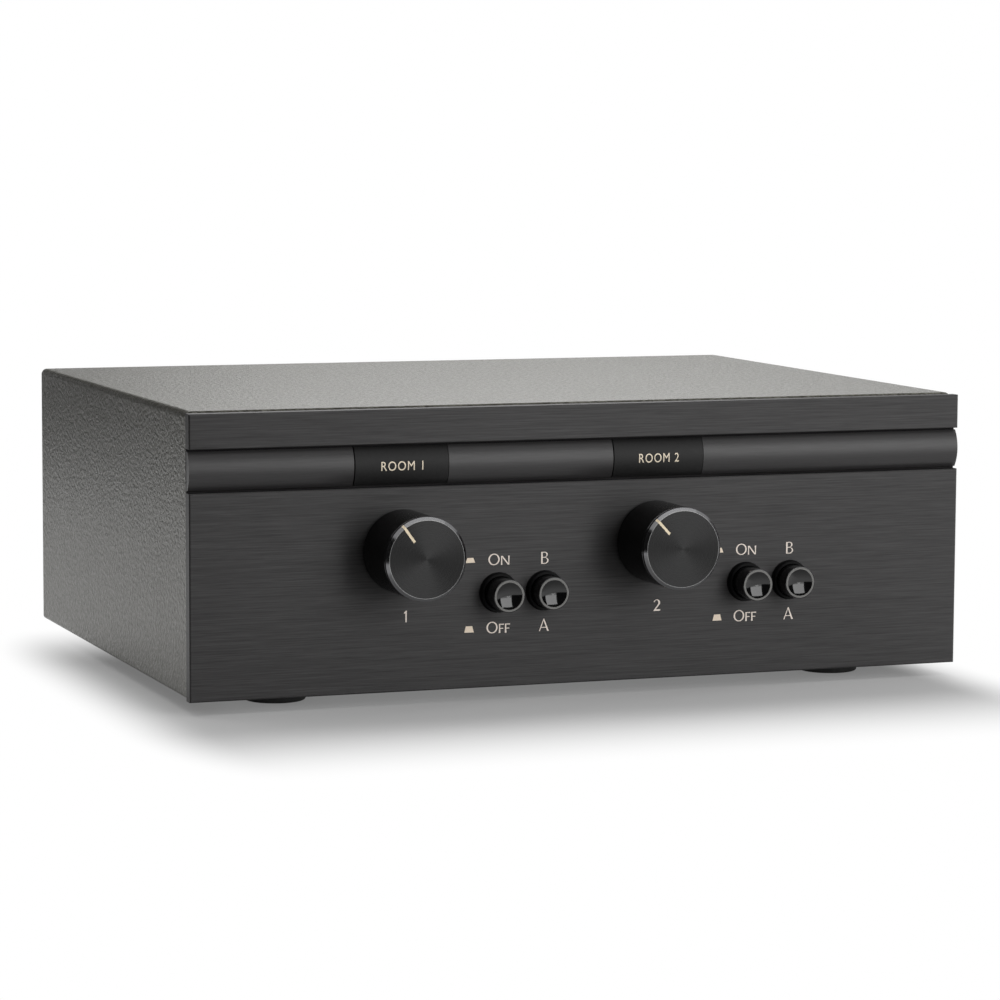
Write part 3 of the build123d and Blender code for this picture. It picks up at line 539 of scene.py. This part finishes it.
# %% Boards
solder_mask = new_finish("solder_mask", (0.02, 0.13, 0.05), 0.3, IOR=1.5)
board_place = node(solder_mask, "TexCoord")
board_turn = node(solder_mask, "Mapping", Rotation=(radians(90), 0, 0))
tracks = node(
    solder_mask, "TexBrick", offset=0.35, squash=1.0, Scale=60, Mortar_Size=0.01, Brick_Width=0.9,
    Row_Height=0.12, Color1=(0.022, 0.15, 0.06, 1), Color2=(0.018, 0.12, 0.05, 1),
    Mortar=(0.01, 0.07, 0.03, 1),
)
join(solder_mask, board_place, board_turn, "Vector", "Object")
join(solder_mask, board_turn, tracks, "Vector")
join(solder_mask, tracks, shader_of(solder_mask), "Base Color", "Color")
emboss(solder_mask, tracks, 0.02 * mm)
dress(solder_mask, "switch_board", "rear_board")

# %% [markdown]
# ## Moulded and pressed plastics
#
# The rest are plain engineering plastics: black terminal blocks and switch bodies, off-white plungers and
# rotors, and brown board for the wafers. Each has a fine moulded grain, and the brown board has fibres.

# %% Plastics
def moulded(name, colour, roughness, size=1800, stretch=(1, 1, 1), contrast=0.2):
    """Plastic with a fine grain in colour, gloss and height."""
    finish = new_finish(name, colour, roughness, IOR=1.5)
    speck = grain(finish, scale=stretch, size=size, detail=3)
    tint(finish, speck, [(1 - contrast) * c for c in colour], [(1 + contrast) * c for c in colour])
    shine(finish, speck, roughness - 0.05, roughness + 0.08)
    emboss(finish, speck, 0.01 * mm)
    return finish


terminals = ["source_a_terminals", "source_b_terminals", "room_1_terminals", "room_2_terminals"]
dress(moulded("terminal_black", (0.012, 0.012, 0.013), 0.42), *terminals)
switches = [f"{kind}_switch_{room}" for kind in ("power", "source") for room in rooms]
dress(moulded("switch_black", (0.03, 0.03, 0.031), 0.45), *switches)
plungers = [f"{kind}_plunger_{room}" for kind in ("power", "source") for room in rooms]
ivory = moulded("ivory_plastic", (0.62, 0.59, 0.5), 0.4, contrast=0.05)
dress(ivory, *plungers, "switch_rotor_1", "switch_rotor_2")
brown_board = moulded("brown_board", (0.2, 0.11, 0.05), 0.5, size=900, stretch=(0.1, 1, 1), contrast=0.35)
dress(brown_board, "switch_wafer_1", "switch_wafer_2")

# %% [markdown]
# ## Modelling helpers
#
# Operators act on whatever is selected, and loading the model leaves everything selected. So each piece
# starts from an empty selection. When it is finished, its place goes into its mesh, and its object stays
# at the origin like those of the box itself, which keeps the patterns in place.

# %% Helpers for pieces
def alone(piece):
    """Select one piece and make it the active one."""
    bpy.ops.object.select_all(action="DESELECT")
    piece.select_set(True)
    bpy.context.view_layer.objects.active = piece


def settle(piece, place, finish, body):
    """Put a piece in its place, give it a finish and let it ride on a body."""
    alone(piece)
    piece.data.transform(place)
    piece.data.materials.clear()
    piece.data.materials.append(finish)
    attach(piece, body)


def facing_front(x, y, z):
    """A drawing on the XY plane stands up, faces forwards and has its origin at x, y, z."""
    return Matrix.Translation((x, y, z)) @ Matrix.Rotation(radians(90), 4, "X")


def facing_back(x, y, z):
    return Matrix.Translation((x, y, z)) @ Matrix.Rotation(pi, 4, "Z") @ Matrix.Rotation(radians(90), 4, "X")


bpy.ops.object.select_all(action="DESELECT")

# %% [markdown]
# ## Pointer paint
#
# A groove is milled across each knob's face from near the middle to the edge, and filled with cream paint.
# The fill starts as a cube the size of the groove. Its outer end is cut off along the knob's bevelled edge,
# and its upper edges are bevelled, because paint shrinks a little where it meets the metal.

# %% Pointers
cream_paint = new_finish("cream_paint", (0.94, 0.8, 0.58), 0.55, IOR=1.45)
brush_marks = grain(cream_paint, size=1600, detail=3)
tint(cream_paint, brush_marks, (0.9, 0.76, 0.54), (0.98, 0.84, 0.62))
emboss(cream_paint, brush_marks, 0.01 * mm)

knob_chamfer = 0.95 * mm
pointer_start = 6.7 * mm
pointer_width = 0.9 * mm
pointer_depth = 1.05 * mm
paint_below_face = 0.04 * mm
side_gap = 0.01 * mm
pointer_angles = {1: -36, 2: -43}
for room, axis in knob_axes.items():
    length = knob_radius - paint_below_face - pointer_start
    height = pointer_depth - paint_below_face
    centre = (0, pointer_start + length / 2, -pointer_depth + height / 2)
    bpy.ops.mesh.primitive_cube_add(size=1, location=centre)
    fill = bpy.context.object
    fill.name = f"pointer_paint_{room}"
    fill.scale = (pointer_width - 2 * side_gap, length, height)
    alone(fill)
    bpy.ops.object.transform_apply(location=True, rotation=True, scale=True)
    bpy.ops.object.mode_set(mode="EDIT")
    bpy.ops.mesh.select_all(action="SELECT")
    bpy.ops.mesh.bisect(
        plane_co=(0, knob_radius - knob_chamfer, -paint_below_face),
        plane_no=(0, 1, 1),
        use_fill=True,
        clear_outer=True,
    )
    bpy.ops.mesh.select_all(action="SELECT")
    bpy.ops.mesh.normals_make_consistent(inside=False)
    bpy.ops.object.mode_set(mode="OBJECT")
    rounding = fill.modifiers.new("rounding", "BEVEL")
    rounding.width = 0.05 * mm
    rounding.segments = 2
    bpy.ops.object.modifier_apply(modifier="rounding")
    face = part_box(f"knob_{room}")[0].y
    turn = Matrix.Rotation(radians(-pointer_angles[room]), 4, "Z")
    settle(fill, facing_front(axis.x, face, axis.z) @ turn, cream_paint, f"control_{room}")
print("pointers:", round(length / mm, 2), "mm long")

# %% [markdown]
# ## Printed words and signs
#
# The legends are screen printed in cream ink: thin classical capitals with a large round O. Blender's own
# font is much plainer, so these few letters are drawn as outlines, straight where the letter is straight
# and as arcs where it is round. A flat filled curve takes several outlines, and an outline inside another
# becomes a hole. All letters have their lower left corner at 0, 0 and are measured in millimetres.

# %% Letters
def arc(centre_x, centre_y, radius_x, radius_y, start, end, steps=24):
    """Points along part of an ellipse, from one angle in degrees to another."""
    angles = [radians(start + (end - start) * step / steps) for step in range(steps + 1)]
    return [(centre_x + radius_x * cos(a), centre_y + radius_y * sin(a)) for a in angles]


def letter_o(width=3.8, height=3.65, side=0.5, top=0.3):
    outer = arc(width / 2, height / 2, width / 2, height / 2, 0, 355, 71)
    inner = arc(width / 2, height / 2, width / 2 - side, height / 2 - top, 0, 355, 71)
    return [outer, inner]


def letter_n(width=2.75, height=2.85, stem=0.32, slant=0.52, flare=0.08):
    drop = height * stem / (width - slant)
    return [[
        (-flare, 0), (0, height / 2), (-flare, height), (slant, height), (width - stem, drop),
        (width - stem, height / 2), (width - stem - flare, height), (width + flare, height),
        (width, height / 2), (width, 0), (width - slant, 0), (stem, height - drop),
        (stem, height / 2), (stem + flare, 0),
    ]]


def letter_f(width=1.7, height=2.9, stem=0.42, arm=0.26, middle=1.32, flare=0.08):
    return [[
        (-flare, 0), (0, height / 2), (0, height), (width, height), (width, height - 1.3 * arm),
        (stem, height - arm), (stem, middle + arm), (0.85 * width, middle + arm), (0.85 * width, middle),
        (stem, middle), (stem + flare, 0),
    ]]


def letter_a(width=3.4, height=3.95, thin=0.36, thick=0.58, tip=0.12, bar_low=1.05, bar_high=1.3):
    """Two legs that meet at the tip, and a thin bar; the legs' inner sides meet at the crotch."""
    apex = 0.5 * width
    crotch = Vector((apex - 0.08, height * 0.86))
    left_foot, right_foot = Vector((thin, 0)), Vector((width - thick, 0))

    def at(foot, level):
        point = foot.lerp(crotch, level / crotch.y)
        return (point.x, point.y)

    outer = [(0, 0), (apex - tip, height), (apex + tip, height), (width, 0), at(right_foot, 0)]
    outer += [at(right_foot, bar_low), at(left_foot, bar_low), at(left_foot, 0)]
    hole = [at(left_foot, bar_high), at(right_foot, bar_high), (crotch.x, crotch.y)]
    return [outer, hole]


def letter_b(height=3.8, stem=0.52, stroke=0.24, bowl=0.46, straight=1.15, upper=2.25, lower=2.5):
    """Two bowls on a stem; upper and lower are the bowls' widths."""
    waist = 0.54 * height
    high, low = (height - waist) / 2, waist / 2
    outer = [(0, 0), (0, height)] + arc(straight, waist + high, upper - straight, high, 90, -90)
    outer += arc(straight, low, lower - straight, low, 90, -90)[1:]
    gap = stroke / 2
    upper_hole = [(stem, waist + gap), (stem, height - stroke)]
    middle = waist + high - gap / 2
    upper_hole += arc(straight, middle, upper - straight - bowl, high - 0.75 * stroke, 90, -90)
    lower_hole = [(stem, stroke), (stem, waist - gap)]
    lower_hole += arc(straight, low + gap / 2, lower - straight - bowl, low - 0.75 * stroke, 90, -90)
    return [outer, upper_hole, lower_hole]


def digit_1(height=3.6, stem=0.46, flag=0.5):
    """A stem that tapers a little to its foot, with a short flag."""
    return [[
        (flag, 0), (flag - 0.04, height - 0.75), (0, height - 0.85), (0, height - 0.68),
        (flag + 0.1, height), (flag + stem, height), (flag + stem - 0.06, 0),
    ]]


def digit_2(height=3.73, width=2.35, base=0.5, bowl=1.12, top=0.24, side=0.5, lean=0.12):
    """An open bowl that is thick on the right, a slanting stroke and a heavy base."""
    middle, high = 0.48 * width, height - bowl
    outer = arc(middle, high, middle, bowl, 165, -35)
    inner = arc(middle - lean, high, middle - side, bowl - top, -30, 165)
    tail = [(0.32 * width, base), (width, base), (0.95 * width, 0), (0, 0), (0, 0.18)]
    return [outer + tail + inner]


# %% [markdown]
# The switch signs are small pictures of a push button seen from the side: a low block for pushed in, a
# taller one for let out. Both are plain trapeziums.

# %% Signs
def trapezium(height, top, width=3.2):
    inset = (width - top) / 2
    return [[(0, 0), (inset, height), (width - inset, height), (width, 0)]]


pushed_in, let_out = trapezium(1.55, 2.0), trapezium(2.0, 2.13)
print("signs:", pushed_in, let_out)

# %% [markdown]
# ## Printing
#
# Ink lies on the metal as a very thin layer. The outlines become one filled curve with a little thickness,
# which is made a mesh first and put in its place after that. Words are set letter by letter, each with its
# own step to the right.

# %% Ink
def ink(name, colour):
    """Screen ink, slightly uneven in colour and thickness."""
    finish = new_finish(name, colour, 0.6, IOR=1.45)
    ink_grain = grain(finish, size=3500, detail=2)
    tint(finish, ink_grain, [0.94 * c for c in colour], [1.04 * c for c in colour])
    emboss(finish, ink_grain, 0.005 * mm)
    return finish


word_ink = ink("word_ink", (0.94, 0.84, 0.75))
sign_ink = ink("sign_ink", (0.94, 0.8, 0.64))
ink_depth = 0.04 * mm


def shifted(outlines, step):
    """The same outlines, a step further to the right."""
    return [[(x + step, y) for x, y in outline] for outline in outlines]


def printed(name, outlines, place, finish):
    """Make outlines in millimetres into a thin mesh, put it in its place and let it ride."""
    drawing = bpy.data.curves.new(name, "CURVE")
    drawing.dimensions = "2D"
    drawing.fill_mode = "BOTH"
    drawing.extrude = ink_depth / mm / 2
    for outline in outlines:
        line = drawing.splines.new("POLY")
        line.points.add(len(outline) - 1)
        for point, (x, y) in zip(line.points, outline):
            point.co = (x, y, 0, 1)
        line.use_cyclic_u = True
    piece = bpy.data.objects.new(name, drawing)
    scene.collection.objects.link(piece)
    alone(piece)
    bpy.ops.object.convert(target="MESH")
    settle(bpy.context.object, place @ Matrix.Scale(mm, 4), finish, "case")


word_on = letter_o() + shifted(letter_n(), 4.3)
word_off = letter_o(3.75, 3.7) + shifted(letter_f(), 4.2) + shifted(letter_f(), 6.25)
legends = {                          # outlines, x from the control's axis, z from the panel's lower edge
    "in_sign": (pushed_in, 21.0, 39.85),
    "out_sign": (let_out, 20.65, 17.75),
    "on": (word_on, 28.65, 38.8),
    "off": (word_off, 28.1, 17.15),
    "b": (letter_b(), 46.45, 38.6),
    "a": (letter_a(), 45.8, 17.1),
}
digits = {1: (digit_1(), 0.6, 22.0), 2: (digit_2(), 0.0, 21.85)}
for room, axis in knob_axes.items():
    marks = dict(legends, digit=digits[room])
    for name, (outlines, x, z) in marks.items():
        place = facing_front(axis.x + x * mm, face_y, panel_base + z * mm)
        printed(f"legend_{name}_{room}", outlines, place, sign_ink if "sign" in name else word_ink)
print("legends:", 2 * (len(legends) + 1))

# %% [markdown]
# ## Words on the name plates
#
# The plates are engraved with plain letters, cut through the black skin into the cream core. Blender's own
# font suits them. The word is cut into narrow bands first, because its straight strokes have no points
# along them, and a plate is rounded: each band's points then go back to the plate's surface.

# %% Engraved words
cream_core = new_finish("cream_core", (0.94, 0.82, 0.64), 0.5, IOR=1.45)
core_grain = grain(cream_core, size=3000, detail=2)
tint(cream_core, core_grain, (0.9, 0.78, 0.6), (0.98, 0.86, 0.68))
emboss(cream_core, core_grain, 0.01 * mm)


def word_mesh(name, text, height, width, thickness, stroke_growth=0.0):
    """A word in Blender's own font as a mesh of that height and width, centred on 0, 0."""
    bpy.ops.object.text_add()
    word = bpy.context.object
    word.name = name
    word.data.body = text
    word.data.space_character = 1.15
    word.data.extrude = 0.5
    word.data.offset = stroke_growth
    alone(word)
    bpy.ops.object.convert(target="MESH")
    word = bpy.context.object
    corners = [Vector(corner) for corner in word.bound_box]
    low = Vector([min(corner[i] for corner in corners) for i in range(3)])
    high = Vector([max(corner[i] for corner in corners) for i in range(3)])
    size = high - low
    word.data.transform(Matrix.Translation(-(low + high) / 2))
    word.data.transform(Matrix.Diagonal((width / size.x, height / size.y, thickness / size.z, 1)))
    return word


def sliced(piece, low, high, step):
    """Cut a piece across Y at equal steps."""
    alone(piece)
    bpy.ops.object.mode_set(mode="EDIT")
    for cut in range(1, int((high - low) / step)):
        bpy.ops.mesh.select_all(action="SELECT")
        bpy.ops.mesh.bisect(plane_co=(0, low + cut * step, 0), plane_no=(0, 1, 0))
    bpy.ops.object.mode_set(mode="OBJECT")


word_height, word_width = 2.9 * mm, 13.8 * mm
word_below_middle = 0.1 * mm
word_stroke_growth = 0.001
band_height = 0.3 * mm
plate_edge_depth = 2.0 * mm          # how far a plate's long edges lie behind its crown
for room in rooms:
    low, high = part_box(f"name_plate_{room}")
    middle = (low + high) / 2
    half_height = (high.z - low.z) / 2
    radius = (half_height**2 + plate_edge_depth**2) / (2 * plate_edge_depth)
    name, text = f"plate_word_{room}", f"ROOM {room}"
    word = word_mesh(name, text, word_height, word_width, ink_depth, word_stroke_growth)
    sliced(word, -word_height / 2, word_height / 2, band_height)
    for point in word.data.vertices:
        above_crown = point.co.y - word_below_middle
        point.co.z -= radius - sqrt(radius**2 - above_crown**2)
    place = facing_front(middle.x, low.y, middle.z - word_below_middle)
    settle(word, place, cream_core, "case")
    print("plate", room, "radius", round(radius / mm, 2), "mm")

# %% [markdown]
# ## Terminal blocks
#
# Every pole of a terminal block is a brass cage in a square wire entry, with a slotted clamp screw over it.
# Both are the same sixteen times, so each is modelled once at the middle of the scene and copied. The screw
# is a short cylinder; a bar is taken out of its top as the slot, and then all its sharp edges are bevelled.

# %% Clamp screw
poles = 4
pole_pitch = 5.08 * mm
pole_offsets = [(pole - (poles - 1) / 2) * pole_pitch for pole in range(poles)]
clamp_from_end = 4.2 * mm
well_depth = 1.2 * mm
screw_radius = 1.6 * mm
screw_height = 0.8 * mm
slot_width = 0.6 * mm
slot_depth = 0.45 * mm

bpy.ops.mesh.primitive_cylinder_add(vertices=24, radius=screw_radius, depth=screw_height)
clamp_screw = bpy.context.object
clamp_screw.name = "clamp_screw"
bpy.ops.mesh.primitive_cube_add(size=1, location=(0, 0, screw_height / 2))
slot_tool = bpy.context.object
slot_tool.scale = (3 * screw_radius, slot_width, 2 * slot_depth)
slot = clamp_screw.modifiers.new("slot", "BOOLEAN")
slot.object = slot_tool
slot.operation = "DIFFERENCE"
alone(clamp_screw)
bpy.ops.object.modifier_apply(modifier="slot")
bpy.data.objects.remove(slot_tool)
rim = clamp_screw.modifiers.new("rim", "BEVEL")
rim.width = 0.08 * mm
rim.segments = 2
rim.angle_limit = radians(50)
bpy.ops.object.modifier_apply(modifier="rim")
print("clamp screw faces:", len(clamp_screw.data.polygons))

# %% [markdown]
# The cage is a bent brass strip, open to the wire: a square tube with thin walls. A cube loses its two
# open ends, and Solidify then gives the walls their thickness towards the inside. The ends are picked in
# face mode: in point mode their corners, which are all the corners there are, would take the whole cube.

# %% Wire cage
cage_side = 3.3 * mm
cage_length = 5 * mm
cage_wall = 0.35 * mm
cage_from_end = 1.2 * mm
bpy.ops.mesh.primitive_cube_add(size=1)
cage = bpy.context.object
cage.name = "wire_cage"
cage.scale = (cage_side, cage_length, cage_side)
alone(cage)
bpy.ops.object.transform_apply(location=True, rotation=True, scale=True)
bpy.ops.object.mode_set(mode="EDIT")
bpy.ops.mesh.select_mode(type="FACE")
bpy.ops.mesh.select_all(action="DESELECT")
bpy.ops.object.mode_set(mode="OBJECT")
for face in cage.data.polygons:
    face.select = abs(face.normal.y) > 0.9
bpy.ops.object.mode_set(mode="EDIT")
bpy.ops.mesh.delete(type="FACE")
bpy.ops.object.mode_set(mode="OBJECT")
walls = cage.modifiers.new("walls", "SOLIDIFY")
walls.thickness = cage_wall
walls.offset = -1
bpy.ops.object.modifier_apply(modifier="walls")
edges = cage.modifiers.new("edges", "BEVEL")
edges.width = 0.06 * mm
edges.segments = 2
bpy.ops.object.modifier_apply(modifier="edges")
print("wire cage faces:", len(cage.data.polygons))


def copy_of(piece, name):
    """Another piece with its own mesh."""
    alone(piece)
    bpy.ops.object.duplicate()
    twin = bpy.context.object
    twin.name = name
    return twin


# %% [markdown]
# Nobody leaves screws all turned the same way, so each slot's turn follows from its pole and its block.

# %% Sixteen poles
turn_each_pole, turn_each_letter = 35, 20      # in degrees
for block in terminals:
    low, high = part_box(block)
    middle = (low + high) / 2
    for pole, offset in enumerate(pole_offsets, start=1):
        x = middle.x + offset
        screw = copy_of(clamp_screw, f"{block}_screw_{pole}")
        degrees = turn_each_pole * pole + turn_each_letter * len(block)
        screw_turn = Matrix.Rotation(radians(degrees), 4, "Z")
        screw_place = Matrix.Translation((x, high.y - clamp_from_end, high.z - well_depth + screw_height / 2))
        settle(screw, screw_place @ screw_turn, bright_steel, "case")
        wire_cage = copy_of(cage, f"{block}_cage_{pole}")
        cage_y = high.y - cage_from_end - cage_length / 2
        settle(wire_cage, Matrix.Translation((x, cage_y, middle.z)), brass, "case")
for pattern in (clamp_screw, cage):
    bpy.data.objects.remove(pattern)
print("poles:", len(terminals) * poles)

# %% [markdown]
# ## Words on the back
#
# The back is screen printed in black on the zinc: which block takes which lead, and the sign of each pole.
# The captions over the blocks are small and plain, so they come from Blender's own font. The plus and minus
# signs under them are outlines like the legends.

# %% Rear words
black_ink = moulded("black_ink", (0.012, 0.012, 0.012), 0.5, size=3500)
rear_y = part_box("chassis")[1].y
rear_words = {
    "source_a_terminals": "SOURCE A IN",
    "source_b_terminals": "SOURCE B IN",
    "room_1_terminals": "ROOM 1 OUT",
    "room_2_terminals": "ROOM 2 OUT",
}
caption_height, caption_width = 2.4 * mm, 21 * mm
caption_above = 3.4 * mm
sign_below = 4.8 * mm
sign_half, stroke_half = 0.75, 0.2   # in millimetres, like all outlines
minus = [
    (-sign_half, -stroke_half), (sign_half, -stroke_half), (sign_half, stroke_half), (-sign_half, stroke_half)
]
plus = [
    (-sign_half, -stroke_half), (-stroke_half, -stroke_half), (-stroke_half, -sign_half),
    (stroke_half, -sign_half), (stroke_half, -stroke_half), (sign_half, -stroke_half),
    (sign_half, stroke_half), (stroke_half, stroke_half), (stroke_half, sign_half),
    (-stroke_half, sign_half), (-stroke_half, stroke_half), (-sign_half, stroke_half),
]
for block, text in rear_words.items():
    low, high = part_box(block)
    x = (low.x + high.x) / 2
    caption = word_mesh(f"caption_{block}", text, caption_height, caption_width, ink_depth)
    settle(caption, facing_back(x, rear_y, high.z + caption_above), black_ink, "case")
    for pole, offset in enumerate(pole_offsets, start=1):
        place = facing_back(x + offset, rear_y, low.z - sign_below)
        printed(f"sign_{block}_{pole}", [plus if pole % 2 else minus], place, black_ink)
print("rear panel at", round(rear_y / mm, 1), "mm")

# %% [markdown]
# ## The studio
#
# The box stands on a white table whose front edge is close and square to the camera. A large soft lamp
# hangs high up behind it, so the shadow falls forwards. Black metal shows what stands round it more than
# what lights it, so the rest is made of what it mirrors: a soft box in front on the right that reaches
# below the table, a thin lamp overhead for the bevels, and dark cards in front, on the left and behind.
#
# The world is white wherever it is seen, straight or in a reflection, and dimmer as a light. The Light
# Path node tells the two apart.

# %% World
def where_seen(finish):
    """1 for a look at the surface, straight, mirrored or through glass, and 0 for the light it gives."""
    ray = node(finish, "LightPath")
    straight_or_mirrored = combine(finish, "MAXIMUM", ray, ray, ("Is Camera Ray", "Is Glossy Ray"))
    return combine(finish, "MAXIMUM", straight_or_mirrored, ray, (0, "Is Transmission Ray"))


light_level, seen_level = 0.5, 1.0
world = bpy.data.worlds.new("studio")
scene.world = world
world.use_nodes = True
background = world.node_tree.nodes["Background"]
background.inputs["Color"].default_value = (1, 1, 1, 1)
join(world, spread(world, where_seen(world), light_level, seen_level, 0, 1), background, "Strength")
print("world nodes:", len(world.node_tree.nodes))

# %% [markdown]
# The table goes over into the same white by its distance from the place where the shadow lies: fast to the
# sides and slower to the front. So the soft outline of the shadow is painted shadow, and a painted glow of
# white lies over the real shadow right up to the box. The shadow's place is a rectangle, so the distance from
# its middle is made unsigned first, and then all four corners are one.

# %% Table
table_size = 14
table_edge = (0.1, -0.335, 0.0)
bpy.ops.mesh.primitive_plane_add(size=table_size)
floor = bpy.context.object
floor.name = "floor"
behind_edge = Matrix.Translation((0, table_size / 2, 0))
floor.data.transform(Matrix.Translation(table_edge) @ Matrix.Rotation(-turn_right, 4, "Z") @ behind_edge)
paper = new_finish("paper", (0.5, 0.5, 0.5), 0.9)
floor.data.materials.append(paper)
print("table edge at", table_edge)

# %% White round the shadow
# painted light: a glow of white laid over the real shadow, which lightens it
painted_glow = 0.16                    # how much of the white lies over the shadow
fade_length = 0.092
shadow_low = Vector((cad_low.x, cad_low.y, 0))
shadow_high = Vector((0.114, 0.02, 0))
side_fade = Vector((3, 1, 1))        # the fade is three times as fast to the sides
squeeze = Matrix.Diagonal(side_fade)
shadow_middle = squeeze @ (shadow_low + shadow_high) / 2
shadow_half = squeeze @ (shadow_high - shadow_low) / 2

floor_place = node(paper, "TexCoord")
squeezed = node(paper, "Mapping", Scale=side_fade, Location=-shadow_middle)
join(paper, floor_place, squeezed, "Vector", "Object")
one_corner = vector_math(paper, "ABSOLUTE", squeezed)
past_shadow = vector_math(paper, "SUBTRACT", one_corner, shadow_half)
outside = vector_math(paper, "MAXIMUM", past_shadow, (0, 0, 0))
fade = node(paper, "MapRange", From_Max=fade_length, To_Min=painted_glow, interpolation_type="SMOOTHSTEP")
join(paper, vector_math(paper, "LENGTH", outside), fade, "Value", "Value")

white = node(paper, "Emission", Strength=1.0)
mix = node(paper, "MixShader")
join(paper, combine(paper, "MULTIPLY", where_seen(paper), fade), mix, 0)
join(paper, shader_of(paper), mix, 1)
join(paper, white, mix, 2)
join(paper, mix, paper.node_tree.nodes["Material Output"], "Surface")
print("shadow from", [round(c, 3) for c in shadow_low], "to", [round(c, 3) for c in shadow_high])

# %% [markdown]
# Lamps and cards both have a place and a point that they face. A lamp's strength is given as the brightness
# of its face, where 1 is as bright as white paper, so it can be compared with what it lights.

# %% Lamps and cards
def facing(place, aim, axis, turn=0.0):
    """The turn that points an axis from place to aim, after a turn in its own plane in degrees."""
    towards = (Vector(aim) - Vector(place)).to_track_quat(axis, "Y").to_matrix()
    return (towards @ Matrix.Rotation(radians(turn), 3, "Z")).to_euler()


def soft_lamp(name, place, aim, width, height, radiance, turn=0.0):
    """A rectangular lamp with an even glow; radiance 1 is as bright as white paper."""
    bpy.ops.object.light_add(type="AREA", location=place)
    lamp = bpy.context.object
    lamp.name = name
    lamp.rotation_euler = facing(place, aim, "-Z", turn)
    lamp.data.shape = "RECTANGLE"
    lamp.data.size, lamp.data.size_y = width, height
    lamp.data.energy = radiance * pi * width * height
    lamp.visible_camera = False


def dark_card(name, place, aim, width, height):
    """A black card: mirrored in the metal, never seen by the camera."""
    bpy.ops.mesh.primitive_plane_add(size=1, location=place)
    card = bpy.context.object
    card.name = name
    card.rotation_euler = facing(place, aim, "Z")
    card.scale = (width, height, 1)
    card.data.materials.append(card_black)
    card.visible_camera = False


card_black = new_finish("card_black", (0.01, 0.01, 0.01), 0.9)
soft_lamp("back_box", (-0.05, 0.65, 0.9), (0.0, 0.0, 0.0), 1.4, 1.0, 2.6)
soft_lamp("top_strip", (0.17, -0.264, 0.88), (0.17, -0.264, 0.0), 1.42, 0.09, 1.8, 15.6)
soft_lamp("front_box", (0.916, -1.486, 0.47), (0.604, -0.019, 0.47), 1.41, 0.98, 4.1)
soft_lamp("front_box_skirt", (0.916, -1.486, -0.19), (0.604, -0.019, -0.19), 1.41, 0.34, 1.9)
dark_card("front_card", (0.1, -1.95, 0.15), (0.0, 0.0, 0.15), 4.8, 2.8)
dark_card("right_front_card", (2.1, -0.8, 0.1), (0.0, -0.3, 0.1), 2.2, 1.8)
dark_card("left_front_card", (-1.3, -0.55, 0.25), (0.0, -0.1, 0.25), 1.7, 1.5)
dark_card("left_card", (-0.38, 0.3, 0.318), (-0.38, 0.0, 0.318), 0.44, 0.56)
dark_card("high_card", (-0.25, 0.75, 0.42), (-0.13, 0.0, 0.42), 0.7, 0.46)
dark_card("back_strip", (0.4, 1.1, 0.31), (0.3, 0.0, 0.31), 2.2, 0.14)
